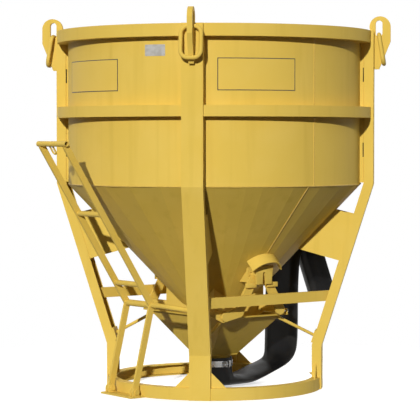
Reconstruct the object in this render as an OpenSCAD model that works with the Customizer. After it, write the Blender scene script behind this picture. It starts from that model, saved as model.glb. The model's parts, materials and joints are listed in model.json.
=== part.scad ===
// Concrete bucket for a crane: an open drum with a cone below it, carried on four folded legs.
// A toothed pair of jaws under the cone is worked by a ladder lever, and a hose hangs on the chute.
// Legs stand on the X and Y axes. The gate, lever and hose lie on a line turned from them.

/* [Vessel] */
// Outer radius of the round drum
drum_r = 745; // [700:1:790]
// Sheet thickness of the drum and the cone
sheet_t = 4; // [3:0.5:6]
// Height of the rim above the ground
rim_z = 1812; // [1700:1:2000]
// Height at which the lines of the cone's wall meet, under the outlet
cone_tip_z = 251.4; // [246:0.1:258]
// Slope of the cone wall from the horizontal
cone_angle = 46.7; // [46:0.1:47.5]

/* [Bands] */
// How far the bands stand out from the drum
band_d = 55; // [45:1:70]
// Height of the band at the rim
rim_band_h = 60; // [45:1:80]
// Height of the band round the middle
mid_band_h = 54; // [40:1:70]
// Lower edge of the middle band above the ground
mid_band_z = 1375; // [1300:1:1450]
// Thickness of the band metal
band_t = 4; // [3:0.5:6]

/* [Legs] */
// Width of each folded leg
leg_w = 104; // [90:1:120]
// Depth of the leg's side walls
leg_d = 48; // [40:1:56]
// Thickness of the leg plate
leg_t = 5; // [4:0.5:7]
// How far a leg's face stands out past the bands
leg_proud = 12; // [10:1:16]
// Radius of a leg's outer face at its foot
foot_r = 552; // [540:1:570]
// Height of the lower bend of a leg
knee_z = 220; // [180:1:260]
// Thickness of the plates between leg and cone
gusset_t = 6; // [4:0.5:8]

/* [Base ring] */
// Height of the channel ring on the ground
ring_h = 60; // [45:1:75]
// Width of the ring's flanges
ring_flange = 45; // [35:1:60]
// Thickness of the ring's metal
ring_t = 6; // [4:0.5:8]
// Angle of the gap that lets the hose lie out
hose_gap_angle = 52; // [44:1:56]
// Length of the triangles that brace a foot
foot_brace = 76; // [60:1:90]

/* [Lifting points] */
// Thickness of a lifting lug
lug_t = 25; // [20:1:30]
// Radius of a lug's round head
lug_head_r = 53; // [48:1:60]
// Diameter of the bar of a lifting ring
bail_bar_d = 20; // [16:1:22]
// Width of a lifting ring, between bar centres
bail_w = 96; // [86:1:110]
// Length of a lifting ring, between bar centres
bail_l = 150; // [145:1:160]
// Angle at which a ring leans out on its lug
bail_lean = 9.5; // [9:0.5:12]

/* [Gate] */
// Height of the pivots of the jaws
pivot_z = 595; // [588:1:602]
// Radius of the closing arc of the jaws
gate_r = 230; // [225:1:234]
// Half length of the outlet across the jaws
outlet_x = 160; // [152:1:163]
// Half width of the outlet along the jaws
outlet_y = 200; // [185:1:210]
// Thickness of the jaw plate
jaw_t = 6; // [5:0.5:8]
// Thickness of the toothed arms
arm_t = 12; // [10:1:14]
// Number of teeth in the full circle of an arm's wheel
teeth = 10; // [10:2:14]
// Pitch radius of the arm's teeth, half the distance of the pivots
pitch_r = 30; // [28:1:32]
// Diameter of the pivot pins
pin_d = 24; // [20:1:26]

/* [Lever] */
// Distance between the centres of the lever's two bars
lever_w = 210; // [190:1:230]
// Depth of a lever bar, in the plane in which it swings
lever_bar = 32; // [28:1:36]
// Thickness of a lever bar
lever_bar_t = 12; // [10:1:16]
// Diameter of the lever's rungs and handle
rung_d = 27; // [24:1:30]
// Distance of the lever's pivot outside the base ring
lever_out = 28; // [26:1:34]
// Height of the lever's pivot
lever_pivot_z = 28; // [26:1:34]
// Distance of the lever's knee from the middle of the bucket
lever_knee_r = 473; // [465:1:480]
// Height of the lever's knee
lever_knee_z = 450; // [440:1:460]
// Distance of the handle from the middle of the bucket
handle_r = 980; // [960:1:1000]
// Height of the handle
handle_z = 1245; // [1180:1:1300]
// Diameter of the bent link between lever and jaws
link_d = 26; // [22:1:28]

/* [Chute] */
// Half length of the chute's mouth across the jaws
chute_x = 188; // [182:1:195]
// Half width of the chute's mouth along the jaws
chute_y = 318; // [300:1:325]
// Height of the chute's mouth
chute_z = 388; // [375:1:390]
// Height at which the chute's walls end
spout_z = 172; // [160:1:190]
// Outer diameter of the round spout that takes the hose
spout_d = 160; // [150:1:162]
// Thickness of the chute's sheet
chute_t = 4; // [3:0.5:6]

/* [Hidden] */
LEG_NODES = ["leg_right", "leg_rear", "leg_left", "leg_front"];
LUG_NODES = ["lug_right", "lug_rear", "lug_left", "lug_front"];
BAIL_NODES = ["bail_right", "bail_rear", "bail_left", "bail_front"];
$fn = 64;
smooth = 180;

// Shared values
paint = [0.80, 0.64, 0.24];
zinc = [0.72, 0.73, 0.75];
black = [0.06, 0.06, 0.07];
over = 10;
weld_gap = 0.3;
run_gap = 0.05;
pin_fit = 0.1;
end_swell = 1;
quarter = 90;
gate_angle = 45;

// Cone
cone_top_z = cone_tip_z + drum_r * tan(cone_angle);
cone_low_share = 0.6;
cone_low_z = cone_tip_z + (chute_z - cone_tip_z) * cone_low_share;
cone_wall_x = sheet_t / sin(cone_angle);
function cone_r(z) = (z - cone_tip_z) / tan(cone_angle);

// Legs
band_out_r = drum_r + band_d;
leg_out_r = band_out_r + leg_proud;
leg_lean = atan((leg_out_r - foot_r) / (cone_top_z - knee_z));
packer_t = 8;
packer_inset = 4;
gusset_tuck = 30;
gusset_top_drop = 128;
gusset_leg_top_drop = 160;
gusset_low_drop = 327;
gusset_leg_low_drop = 395;
gusset_top_z = cone_top_z - gusset_top_drop;
gusset_leg_top_z = cone_top_z - gusset_leg_top_drop;
gusset_low_z = cone_top_z - gusset_low_drop;
gusset_leg_low_z = cone_top_z - gusset_leg_low_drop;
function bend_z(z, d) = z + d * tan(leg_lean / 2);
function leg_line(d) = [[leg_out_r - d, rim_z], [leg_out_r - d, bend_z(cone_top_z, d)],
    [foot_r - d, bend_z(knee_z, d)], [foot_r - d, 0]];
function leg_r(z, d) = leg_out_r - d / cos(leg_lean) - (cone_top_z - z) * tan(leg_lean);
function flip(points) = [for (i = [len(points) - 1:-1:0]) points[i]];

// Base ring
base_ring_r = foot_r - leg_t - weld_gap;
foot_brace_t = 6;
foot_brace_r = base_ring_r - ring_flange / 2;

// Tie bars
tie_z = 475;
tie_h = 52;
tie_d = 20;
tie_t = 3;
tie_side_gap = 1;
tie_y = (leg_r(tie_z - tie_h / 2, leg_d) + leg_w / 2 - leg_t - tie_side_gap) / sqrt(2) - tie_d / 2;
tie_half = tie_y + leg_w;

// Lifting points
lug_head_out = 30;
lug_rise = 21;
lug_r = leg_out_r + lug_head_out;
lug_z = rim_z + lug_rise;
lug_out_r = lug_r + lug_head_r;
lug_toe = 26;
lug_drop = 192;
lug_shoulder = 52;
lug_hole_w = 34;
lug_hole_wall = 20;
bail_seat = 0.3;
bail_in = 5;
bail_flat = lug_t + 2 * bail_seat;
bail_drop = 17;
bail_r = lug_r - bail_in;
bail_z = rim_z - bail_drop;
lug_hole_low_z = bail_z - bail_bar_d / 2 - bail_seat + lug_hole_w / 2;
lug_hole_high_z = lug_z + lug_head_r - lug_hole_wall - lug_hole_w / 2;

// Toothed arms
tooth_module = 2 * pitch_r / teeth;
pressure_angle = 25;
tip_share = 0.75;
tip_r = pitch_r + tip_share * tooth_module;
root_r = pitch_r - tooth_module;
base_r = pitch_r * cos(pressure_angle);
backlash_angle = 1.2;
flank_steps = 4;
tooth_half_angle = quarter / teeth - backlash_angle;
function roll_angle(r) = sqrt(pow(r / base_r, 2) - 1) * 180 / PI;
function polar_angle(r) = roll_angle(r) - atan(roll_angle(r) * PI / 180);
function half_angle(r) = tooth_half_angle + polar_angle(pitch_r) - polar_angle(r);
function flank_r(i) = base_r + (tip_r - base_r) * i / flank_steps;

// Jaws and what carries them
arm_clear = 5.5;
arm_in_y = cone_r(pivot_z + tip_r) + arm_clear;
arm_out_y = arm_in_y + arm_t;
jaw_gap = 1.5;
lip_gap = 0.5;
jaw_in_r = gate_r + jaw_gap;
jaw_out_r = jaw_in_r + jaw_t;
jaw_lap_angle = 2;
jaw_end_angle = asin((outlet_x - pitch_r) / gate_r) + jaw_lap_angle;
jaw_lip_angle = -asin(pitch_r / jaw_in_r);
end_gap = 6;
end_plate_in_r = 180;
end_plate_in_y = outlet_y + end_gap;
end_plate_out_y = end_plate_in_y + jaw_t;
beam_d = 36;
beam_r = (end_plate_in_r + jaw_in_r) / 2;
beam_angle = jaw_end_angle - asin(beam_d / 2 / beam_r) - jaw_lap_angle;
arm_end_r = 26;
arm_neck_r = 22;
outlet_t = 6;
bracket_t = 10;
bracket_space = 6;
bracket_out_y = arm_in_y - bracket_space;
bracket_half_x = 66;
bracket_drop = 38;
bracket_rise = 60;
bracket_rib_t = 8;
bracket_in_y = cone_r(pivot_z - bracket_drop) - over;
bracket_rib_x = 56;
washer_t = 4;
washer_d = 44;
nut_af = 36;
nut_t = 16;
pin_cap = 3;
six = 6;
pivot_pin_l = bracket_t + bracket_space + arm_t + washer_t + nut_t + pin_cap;

// Hood over the teeth
hood_r = 100;
hood_t = 5;
hood_d = 60;
hood_rise = 36;
hood_z = pivot_z + hood_rise;
hood_end_angle = 24;

// Lever
lever_pivot_r = base_ring_r + lever_out;
lever_bolt_d = 16;
handle_over = 20;
rung_shares = [0.43, 0.87];
upper_run = handle_r - lever_knee_r;
upper_rise = handle_z - lever_knee_z;
upper_lean = atan(upper_run / upper_rise);
lower_lean = atan((lever_pivot_r - lever_knee_r) / (lever_knee_z - lever_pivot_z));
upper_l = upper_rise / cos(upper_lean);
lower_l = (lever_knee_z - lever_pivot_z) / cos(lower_lean);
bar_in_y = (lever_w - lever_bar_t) / 2;
bar_out_y = (lever_w + lever_bar_t) / 2;
bracket_plate_t = 8;
bracket_plate_out = 42;
ear_t = 8;
ear_gap = 1;
ear_r = 20;
bolt_head_d = 28;
bolt_head_t = 9;
eye_rod_d = 9;
eye_drop = 58;
eye_w = 26;
eye_y = 22;
tube_t = 3;

// Link from the lever's knee to the lever side jaw
journal_d = 18;
journal_l = 80;
link_bend_r = 134;
link_arm_gap = 1.5;
link_start_gap = 0.5;
link_y = arm_in_y - link_d / 2 - link_arm_gap;
link_start_y = bar_out_y + link_start_gap;
link_pin_x = 215;
link_pin_z = 395;
link_pin_d = 20;
link_pin_cap_d = 48;
link_pin_cap_t = 6;
link_eye_t = 8;
link_eye_gap = 3.8;
link_eye_y = arm_in_y - link_eye_gap - link_eye_t / 2;
link_eye_neck = 11;
link_eye_r = 29;
link_eye_d = 34;
link_eye_back = 4.7;
link_eye_up = 0.9;
link_tube_short = 58;
link_l = norm([lever_knee_r - link_pin_x, lever_knee_z - link_pin_z]);
link_tilt = atan((lever_knee_z - link_pin_z) / (lever_knee_r - link_pin_x));
link_ear_r = 22;
link_pin_play = 2;
link_pin_l = arm_in_y - link_eye_y + link_eye_t / 2 + link_pin_play;

// Chute
spout_t = 5;
spout_low_z = 96;
chute_lip = 20;
chute_lip_t = 6;
chute_foot = spout_d / 2 + chute_t;
stay_d = 16;
stay_leg_z = 268;
stay_pad_h = 60;
stay_pad_t = 8;
stay_end_drop = 14;
stay_end_z = chute_z - stay_end_drop;
stay_in_share = 0.94;
chute_wall_x = chute_t / sin(atan((chute_z - spout_z) / (chute_x - chute_foot)));
chute_wall_y = chute_t / sin(atan((chute_z - spout_z) / (chute_y - chute_foot)));
function chute_half(z, half) = chute_foot + (half - chute_foot) * (z - spout_z) / (chute_z - spout_z);

// Hose: flattened tube, given by the two sides of its section in the gate's middle plane
hose_wall = 6;
hose_sides = 12;
hose_play = 0.5;
hose_r = spout_d / 2 / cos(180 / hose_sides) + hose_wall + hose_play;
hose_lap = 56;
hose_mid_lap = 22;
hose_hang = 2;
hose_top_z = spout_low_z + hose_lap;
hose_mid_z = spout_low_z + hose_mid_lap;
hose_end_z = spout_low_z - hose_hang;
hose_route = [
    [[-hose_r, hose_top_z], [hose_r, hose_top_z]], [[-hose_r, hose_mid_z], [hose_r, hose_mid_z]],
    [[-hose_r, hose_end_z], [hose_r, hose_end_z]], [[-80, 56], [92, 76]], [[-52, 20], [94, 66]],
    [[0, 4], [98, 60]], [[70, 2], [110, 58]], [[130, 2], [135, 56]], [[190, 6], [174, 60]],
    [[250, 26], [232, 70]], [[306, 47], [290, 90]], [[372, 68], [322, 110]], [[435, 92], [340, 124]],
    [[487, 122], [350, 140]], [[514, 158], [355, 162]], [[525, 205], [358, 200]], [[529, 270], [360, 270]],
    [[530, 400], [362, 400]], [[531, 490], [366, 488]], [[533, 560], [376, 560]], [[538, 630], [398, 640]],
    [[548, 695], [462, 722]], [[556, 738], [520, 790]], [[575, 758], [575, 815]], [[590, 745], [640, 785]],
    [[597, 700], [672, 728]], [[600, 655], [690, 685]], [[607, 617], [700, 652]], [[639, 533], [732, 570]],
    [[672, 450], [765, 487]], [[680, 430], [773, 466]]];
flat_share = 0.45;
function hose_half(i) = norm(hose_route[i][1] - hose_route[i][0]) / 2;
function hose_point(i, a, inset) = let (
    mid = (hose_route[i][0] + hose_route[i][1]) / 2,
    b = hose_half(i),
    dir = (hose_route[i][1] - hose_route[i][0]) / (2 * b),
    at = mid + dir * (b - inset) * cos(a),
    w = hose_r + (hose_r - b) * flat_share)
    [at[0], (w - inset) * sin(a), at[1]];
clamp_t = 3;
clamp_h = 30;
clamp_z = 108;
clamp_ear = 22;
clamp_bolt_d = 10;
clamp_bolt_l = 46;
clamp_ear_gap = 8;
clamp_ear_t = 5;
clamp_head_t = 7;
rest_rod_d = 16;
rest_x = 574;
rest_z = 744;
rest_half_y = 140;

// Helpers
module gate_frame() {
    rotate([0, 0, gate_angle]) children();
}

// Plate whose outline is drawn in radius and height, standing on the X axis
module radial_plate(t) {
    rotate([90, 0, 0]) linear_extrude(height = t, center = true) children();
}

// Plate whose outline is drawn across the jaws and in height, from y_low to y_high
module gate_plate(y_low, y_high) {
    translate([0, y_high, 0]) rotate([90, 0, 0]) linear_extrude(height = y_high - y_low) children();
}

// Straight tapered bar with round ends
module bar_outline(from, to, r_from, r_to) {
    dir = (to - from) / norm(to - from);
    side = [-dir[1], dir[0]];
    polygon([from + side * r_from, to + side * r_to, to - side * r_to, from - side * r_from]);
    translate(from) circle(r_from + end_swell);
    translate(to) circle(r_to + end_swell);
}

// Solid body of the drum and cone, swollen by gap, to trim what is welded on them
module vessel_room(gap) {
    low_z = cone_tip_z - gap / cos(cone_angle);
    wall_r = drum_r + gap;
    rotate_extrude($fn = smooth) polygon([[0, low_z], [wall_r, low_z + wall_r * tan(cone_angle)],
        [wall_r, rim_z + over], [0, rim_z + over]]);
}

// Space that the three rings need in the sides of the legs
module ring_room() {
    rotate_extrude($fn = smooth) {
        translate([0, rim_z - rim_band_h - weld_gap])
            square([band_out_r + weld_gap, rim_band_h + over]);
        translate([0, mid_band_z - weld_gap]) square([band_out_r + weld_gap, mid_band_h + 2 * weld_gap]);
        translate([0, -over]) square([base_ring_r + weld_gap / 2, ring_h + over + weld_gap]);
    }
}

// Section of a folded channel between two radii and two heights, open on the inside
module channel_section(r_in, r_out, z_low, z_high, t) {
    polygon([[r_in, z_low], [r_out, z_low], [r_out, z_high], [r_in, z_high], [r_in, z_high - t],
        [r_out - t, z_high - t], [r_out - t, z_low + t], [r_in, z_low + t]]);
}

// Space inside the arcs on which the jaws close
module gate_arc_room(r, half_y) {
    gate_plate(-half_y, half_y) {
        for (s = [-1, 1]) translate([s * pitch_r, pivot_z]) circle(r);
        translate([-2 * gate_r, pivot_z - gate_r / 2]) square([4 * gate_r, 4 * gate_r]);
    }
}

// Vessel
module drum() {
    color(paint) rotate_extrude($fn = smooth) translate([drum_r - sheet_t, cone_top_z])
        square([sheet_t, rim_z - cone_top_z]);
}

module cone() {
    color(paint) difference() {
        rotate_extrude($fn = smooth) polygon([[cone_r(cone_low_z), cone_low_z], [drum_r, cone_top_z],
            [drum_r - cone_wall_x, cone_top_z], [cone_r(cone_low_z) - cone_wall_x, cone_low_z]]);
        gate_frame() translate([outlet_t - outlet_x, outlet_t - outlet_y, cone_tip_z])
            cube([2 * (outlet_x - outlet_t), 2 * (outlet_y - outlet_t), cone_top_z - cone_tip_z]);
    }
}

module rim_band() {
    color(paint) rotate_extrude($fn = smooth)
        channel_section(drum_r + weld_gap, band_out_r, rim_z - rim_band_h, rim_z, band_t);
}

module mid_band() {
    color(paint) rotate_extrude($fn = smooth)
        channel_section(drum_r + weld_gap, band_out_r, mid_band_z, mid_band_z + mid_band_h, band_t);
}

// Legs
module leg_outline(d) {
    polygon(concat(leg_line(0), flip(leg_line(d))));
}

module leg(k) {
    color(paint) rotate([0, 0, k * quarter]) difference() {
        union() {
            radial_plate(leg_w) leg_outline(leg_t);
            for (s = [-1, 1]) translate([0, s * (leg_w - leg_t) / 2, 0])
                radial_plate(leg_t) leg_outline(leg_d);
        }
        ring_room();
    }
}

module leg_packers() {
    low_z = bend_z(cone_top_z, leg_d);
    color(paint) difference() {
        for (k = [0:3], s = [-1, 1]) rotate([0, 0, k * quarter])
            translate([0, s * (leg_w / 2 - packer_inset - packer_t / 2), 0]) radial_plate(packer_t)
                translate([drum_r - over, low_z])
                    square([leg_out_r - leg_d - drum_r + over, rim_z - low_z - rim_band_h - weld_gap]);
        vessel_room(weld_gap);
        ring_room();
    }
}

module leg_gussets() {
    color(paint) difference() {
        for (k = [0:3], s = [-1, 1]) rotate([0, 0, k * quarter])
            translate([0, s * (leg_w / 2 - leg_t - gusset_t / 2), 0]) radial_plate(gusset_t)
                polygon([[cone_r(gusset_top_z) - over, gusset_top_z],
                    [leg_r(gusset_leg_top_z, leg_d - gusset_tuck), gusset_leg_top_z],
                    [leg_r(gusset_leg_low_z, leg_d - gusset_tuck), gusset_leg_low_z],
                    [cone_r(gusset_low_z) - over, gusset_low_z]]);
        vessel_room(weld_gap);
    }
}

// Base ring and what ties the legs
module base_ring() {
    color(paint) gate_frame() rotate([0, 0, hose_gap_angle / 2])
        rotate_extrude(angle = 360 - hose_gap_angle, $fn = smooth)
            channel_section(base_ring_r - ring_flange, base_ring_r, 0, ring_h, ring_t);
}

module foot_braces() {
    color(paint) for (k = [0:3], s = [-1, 1]) rotate([0, 0, k * quarter])
        translate([foot_brace_r, s * leg_w / 2, ring_h]) rotate([90, 0, 90])
            linear_extrude(height = foot_brace_t, center = true)
                polygon([[0, 0], [s * foot_brace, 0], [0, foot_brace]]);
}

// Bar that goes in between the sides of two legs and meets their faces
module tie_bar(s) {
    color(paint) difference() {
        gate_frame() translate([0, s * tie_y, tie_z]) difference() {
            cube([2 * tie_half, tie_d, tie_h], center = true);
            cube([2 * tie_half + over, tie_d - 2 * tie_t, tie_h - 2 * tie_t], center = true);
        }
        for (k = [0:3]) rotate([0, 0, k * quarter]) radial_plate(2 * leg_w) polygon([
            [leg_r(tie_z - tie_h, leg_t + weld_gap), tie_z - tie_h],
            [leg_r(tie_z + tie_h, leg_t + weld_gap), tie_z + tie_h],
            [leg_out_r, tie_z + tie_h], [leg_out_r, tie_z - tie_h]]);
    }
}

// Lifting points
module lug_outline() {
    difference() {
        union() {
            difference() {
                translate([lug_r, lug_z]) circle(lug_head_r);
                translate([leg_out_r - 2 * lug_head_r, rim_z - 4 * lug_head_r])
                    square([2 * lug_head_r, 4 * lug_head_r]);
            }
            polygon([[leg_out_r, rim_z - lug_drop], [leg_out_r + lug_toe, rim_z - lug_drop],
                [lug_out_r, rim_z - lug_shoulder], [lug_out_r, lug_z], [leg_out_r, lug_z]]);
        }
        for (z = [lug_hole_low_z, lug_hole_high_z]) translate([bail_r, z]) circle(lug_hole_w / 2);
        translate([bail_r - lug_hole_w / 2, lug_hole_low_z])
            square([lug_hole_w, lug_hole_high_z - lug_hole_low_z]);
    }
}

module lug(k) {
    color(paint) rotate([0, 0, k * quarter]) radial_plate(lug_t) lug_outline();
}

// Oval ring that hangs from its pivot, with a short straight bar at both ends
module bail_shape() {
    bend = (bail_w - bail_flat) / 2;
    for (e = [0, 1], s = [-1, 1])
        translate([0, s * bail_flat / 2, -bend - e * (bail_l - 2 * bend)]) rotate([90, 0, 90])
            rotate([0, 0, (s < 0 ? quarter : 0) + (e == 0 ? 0 : -s * quarter)])
                rotate_extrude(angle = quarter) translate([bend, 0]) circle(bail_bar_d / 2);
    for (z = [0, -bail_l]) translate([0, 0, z]) rotate([90, 0, 0])
        cylinder(h = bail_flat, d = bail_bar_d, center = true);
    for (s = [-1, 1]) translate([0, s * bail_w / 2, bend - bail_l])
        cylinder(h = bail_l - 2 * bend, d = bail_bar_d);
}

module bail(k) {
    color(paint) rotate([0, 0, k * quarter]) translate([bail_r, 0, bail_z])
        rotate([0, -bail_lean, 0]) bail_shape();
}

// Outlet under the cone
module outlet_box() {
    color(paint) gate_frame() intersection() {
        difference() {
            translate([-outlet_x, -outlet_y, cone_tip_z])
                cube([2 * outlet_x, 2 * outlet_y, pivot_z - cone_tip_z]);
            translate([outlet_t - outlet_x, outlet_t - outlet_y, cone_tip_z - over])
                cube([2 * (outlet_x - outlet_t), 2 * (outlet_y - outlet_t), pivot_z]);
            vessel_room(weld_gap);
        }
        gate_arc_room(gate_r, 2 * outlet_y);
    }
}

module pivot_bracket(s) {
    color(paint) gate_frame() rotate([0, 0, (1 - s) * quarter]) difference() {
        union() {
            translate([-bracket_half_x, bracket_out_y - bracket_t, pivot_z - bracket_drop])
                cube([2 * bracket_half_x, bracket_t, bracket_drop + bracket_rise]);
            for (x = [-bracket_rib_x, bracket_rib_x])
                translate([x - bracket_rib_t / 2, bracket_in_y, pivot_z - bracket_drop])
                    cube([bracket_rib_t, bracket_out_y - bracket_t / 2 - bracket_in_y,
                        bracket_drop + bracket_rise]);
        }
        vessel_room(weld_gap);
        for (x = [-pitch_r, pitch_r]) translate([x, 0, pivot_z]) rotate([-90, 0, 0])
            cylinder(h = bracket_out_y + over, d = pin_d + 2 * pin_fit);
    }
}

module pivot_pins() {
    color(paint) gate_frame() for (s = [-1, 1], x = [-pitch_r, pitch_r])
        rotate([0, 0, (1 - s) * quarter]) translate([x, bracket_out_y - bracket_t, pivot_z])
            rotate([-90, 0, 0]) cylinder(h = pivot_pin_l, d = pin_d);
}

module pivot_nuts() {
    color(paint) gate_frame() for (s = [-1, 1], x = [-pitch_r, pitch_r])
        rotate([0, 0, (1 - s) * quarter]) translate([x, arm_out_y + weld_gap, pivot_z]) rotate([-90, 0, 0])
            difference() {
                union() {
                    cylinder(h = washer_t, d = washer_d);
                    translate([0, 0, washer_t]) cylinder(h = nut_t, d = nut_af / cos(180 / six), $fn = six);
                }
                translate([0, 0, -over]) cylinder(h = washer_t + nut_t + 2 * over, d = pin_d + 2 * pin_fit);
            }
}

// Bent strip that stands square on the cone above the teeth
module gear_hood(s) {
    wedge = 4 * hood_r;
    color(paint) gate_frame() rotate([0, 0, (1 - s) * quarter]) difference() {
        translate([0, cone_r(hood_z), hood_z]) rotate([cone_angle - 180, 0, 0])
            translate([0, 0, -over]) linear_extrude(height = hood_d + over) intersection() {
                difference() {
                    circle(hood_r);
                    circle(hood_r - hood_t);
                }
                polygon([[0, 0], wedge * [cos(hood_end_angle), -sin(hood_end_angle)], [wedge, -wedge],
                    [-wedge, -wedge], wedge * [-cos(hood_end_angle), -sin(hood_end_angle)]]);
            }
        vessel_room(weld_gap);
    }
}

// Jaws, drawn for the lever's side
module jaw_sector(r_in, r_out) {
    far = 2 * r_out;
    intersection() {
        translate([-pitch_r, pivot_z]) intersection() {
            difference() {
                circle(r_out);
                circle(r_in);
            }
            polygon([[0, 0], far * [sin(-jaw_lip_angle), -cos(jaw_lip_angle)], [0, -far], [-far, -far],
                far * [-sin(jaw_end_angle), -cos(jaw_end_angle)]]);
        }
        translate([-far, 0]) square([far - lip_gap, pivot_z]);
    }
}

module jaw_pan() {
    gate_plate(-end_plate_out_y, end_plate_out_y) jaw_sector(jaw_in_r, jaw_out_r);
    gate_plate(end_plate_in_y, end_plate_out_y) jaw_sector(end_plate_in_r, jaw_out_r);
    gate_plate(-end_plate_out_y, -end_plate_in_y) jaw_sector(end_plate_in_r, jaw_out_r);
}

module tooth_outline() {
    right = [for (i = [0:flank_steps]) let (r = flank_r(i), a = half_angle(flank_r(i)))
        r * [cos(a), -sin(a)]];
    left = [for (p = flip(right)) [p[0], -p[1]]];
    foot = half_angle(base_r);
    polygon(concat([[0, 0], root_r * [cos(foot), -sin(foot)]], right, left,
        [root_r * [cos(foot), sin(foot)]]));
}

module toothed_wheel(phase) {
    circle(root_r);
    for (i = [0:teeth - 1]) rotate(phase + i * 360 / teeth) tooth_outline();
}

beam_at = [-pitch_r - beam_r * sin(beam_angle), pivot_z - beam_r * cos(beam_angle)];

module arm_outline(phase) {
    hub = [-pitch_r, pivot_z];
    difference() {
        union() {
            translate(hub) toothed_wheel(phase);
            bar_outline(hub, beam_at, arm_neck_r, arm_end_r);
            children();
        }
        translate(hub) circle(pin_d / 2 + run_gap);
    }
}

module jaw_beams() {
    for (y = [-arm_in_y, end_plate_out_y]) translate([beam_at[0], y, beam_at[1]])
        rotate([-90, 0, 0]) cylinder(h = arm_in_y - end_plate_out_y, d = beam_d);
}

module lever_jaw_pan() {
    color(paint) gate_frame() jaw_pan();
}

module lever_jaw_arms() {
    color(paint) gate_frame() {
        jaw_beams();
        gate_plate(arm_in_y, arm_out_y) arm_outline(0);
        gate_plate(-arm_out_y, -arm_in_y) arm_outline(0)
            bar_outline(beam_at, [-link_pin_x, link_pin_z], arm_end_r, link_ear_r);
    }
}

module hose_jaw_pan() {
    color(paint) gate_frame() mirror([1, 0, 0]) jaw_pan();
}

module hose_jaw_arms() {
    color(paint) gate_frame() mirror([1, 0, 0]) {
        jaw_beams();
        gate_plate(arm_in_y, arm_out_y) arm_outline(180 / teeth);
        gate_plate(-arm_out_y, -arm_in_y) arm_outline(180 / teeth);
    }
}

module link_pin() {
    color(paint) gate_frame() translate([-link_pin_x, -arm_in_y, link_pin_z]) rotate([-90, 0, 0]) {
        cylinder(h = link_pin_l, d = link_pin_d);
        translate([0, 0, link_pin_l]) cylinder(h = link_pin_cap_t, d = link_pin_cap_d);
    }
}

// Lever
module lever_bar_shape(y, bored) {
    foot = [-lever_pivot_r, lever_pivot_z];
    knee = [-lever_knee_r, lever_knee_z];
    low = y - lever_bar_t / 2;
    high = y + lever_bar_t / 2;
    color(paint) gate_frame() difference() {
        union() {
            gate_plate(low, high) translate(knee) rotate(-lower_lean) translate([-lever_bar / 2, -lower_l])
                square([lever_bar, lower_l]);
            gate_plate(low, high) translate(knee) rotate(upper_lean) translate([-lever_bar / 2, 0])
                square([lever_bar, upper_l - rung_d / 3]);
            gate_plate(low, high) translate(foot) circle(lever_bar / 2 + end_swell);
            gate_plate(low, high) translate(knee) circle(lever_bar / 2 + end_swell);
        }
        gate_plate(low - over, high + over) translate(foot) circle(lever_bolt_d / 2 + run_gap);
        gate_plate(low - over, high + over) translate([-handle_r, handle_z]) circle(rung_d / 2 + weld_gap);
        if (bored) gate_plate(low - over, high + over) translate(knee) circle(journal_d / 2 + run_gap);
    }
}

module lever_bar_left() {
    lever_bar_shape(lever_w / 2, false);
}

module lever_bar_right() {
    lever_bar_shape(-lever_w / 2, true);
}

module lever_handle() {
    color(paint) gate_frame() translate([-handle_r, 0, handle_z]) rotate([90, 0, 0]) difference() {
        cylinder(h = lever_w + 2 * handle_over, d = rung_d, center = true);
        cylinder(h = lever_w + 2 * handle_over + over, d = rung_d - 2 * tube_t, center = true);
    }
}

module lever_rungs() {
    color(paint) gate_frame() for (share = rung_shares)
        translate([upper_run * share - handle_r, 0, handle_z - upper_rise * share])
            rotate([90, 0, 0]) cylinder(h = 2 * bar_in_y, d = rung_d, center = true);
}

module lever_knee_tube() {
    color(paint) gate_frame() translate([-lever_knee_r, 0, lever_knee_z]) rotate([90, 0, 0]) difference() {
        cylinder(h = 2 * bar_in_y, d = lever_bar, center = true);
        cylinder(h = 2 * bar_in_y + over, d = journal_d + 2 * run_gap, center = true);
    }
}

module pull_eye() {
    bend = eye_w / 2;
    color(paint) gate_frame() difference() {
        translate([-handle_r, eye_y, handle_z]) rotate([0, -upper_lean, 0]) {
            for (s = [-1, 1]) translate([0, s * bend, bend - eye_drop])
                cylinder(h = eye_drop - bend, d = eye_rod_d);
            translate([0, 0, bend - eye_drop]) rotate([90, 0, 90]) rotate([0, 0, 180])
                rotate_extrude(angle = 180) translate([bend, 0]) circle(eye_rod_d / 2);
        }
        translate([-handle_r, 0, handle_z]) rotate([90, 0, 0])
            cylinder(h = lever_w, d = rung_d + 2 * weld_gap, center = true);
    }
}

module lever_bracket() {
    half_y = bar_out_y + ear_gap + ear_t + over;
    out = lever_pivot_r + bracket_plate_out;
    color(paint) gate_frame() difference() {
        union() {
            translate([-out, -half_y, 0]) cube([out - base_ring_r + 3 * over, 2 * half_y, bracket_plate_t]);
            for (s = [-1, 1], y = [bar_in_y - ear_gap - ear_t, bar_out_y + ear_gap])
                gate_plate(s * (y + ear_t / 2) - ear_t / 2, s * (y + ear_t / 2) + ear_t / 2) {
                    translate([-lever_pivot_r, lever_pivot_z]) circle(ear_r);
                    translate([-lever_pivot_r - ear_r, bracket_plate_t / 2])
                        square([2 * ear_r, lever_pivot_z - bracket_plate_t / 2]);
                }
        }
        translate([0, 0, -over]) cylinder(h = ring_h + over, r = base_ring_r + weld_gap, $fn = smooth);
        translate([-lever_pivot_r, 0, lever_pivot_z]) rotate([90, 0, 0])
            cylinder(h = 2 * half_y + over, d = lever_bolt_d + 2 * pin_fit, center = true);
    }
}

module lever_bolts() {
    low = bar_in_y - ear_gap - ear_t;
    high = bar_out_y + ear_gap + ear_t;
    color(paint) gate_frame() for (s = [-1, 1])
        translate([-lever_pivot_r, s * (low + high) / 2, lever_pivot_z]) rotate([90, 0, 0]) {
            cylinder(h = high - low, d = lever_bolt_d, center = true);
            for (e = [-1, 1]) translate([0, 0, e * (high - low + bolt_head_t) / 2])
                cylinder(h = bolt_head_t, d = bolt_head_d, center = true, $fn = six);
        }
}

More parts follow.
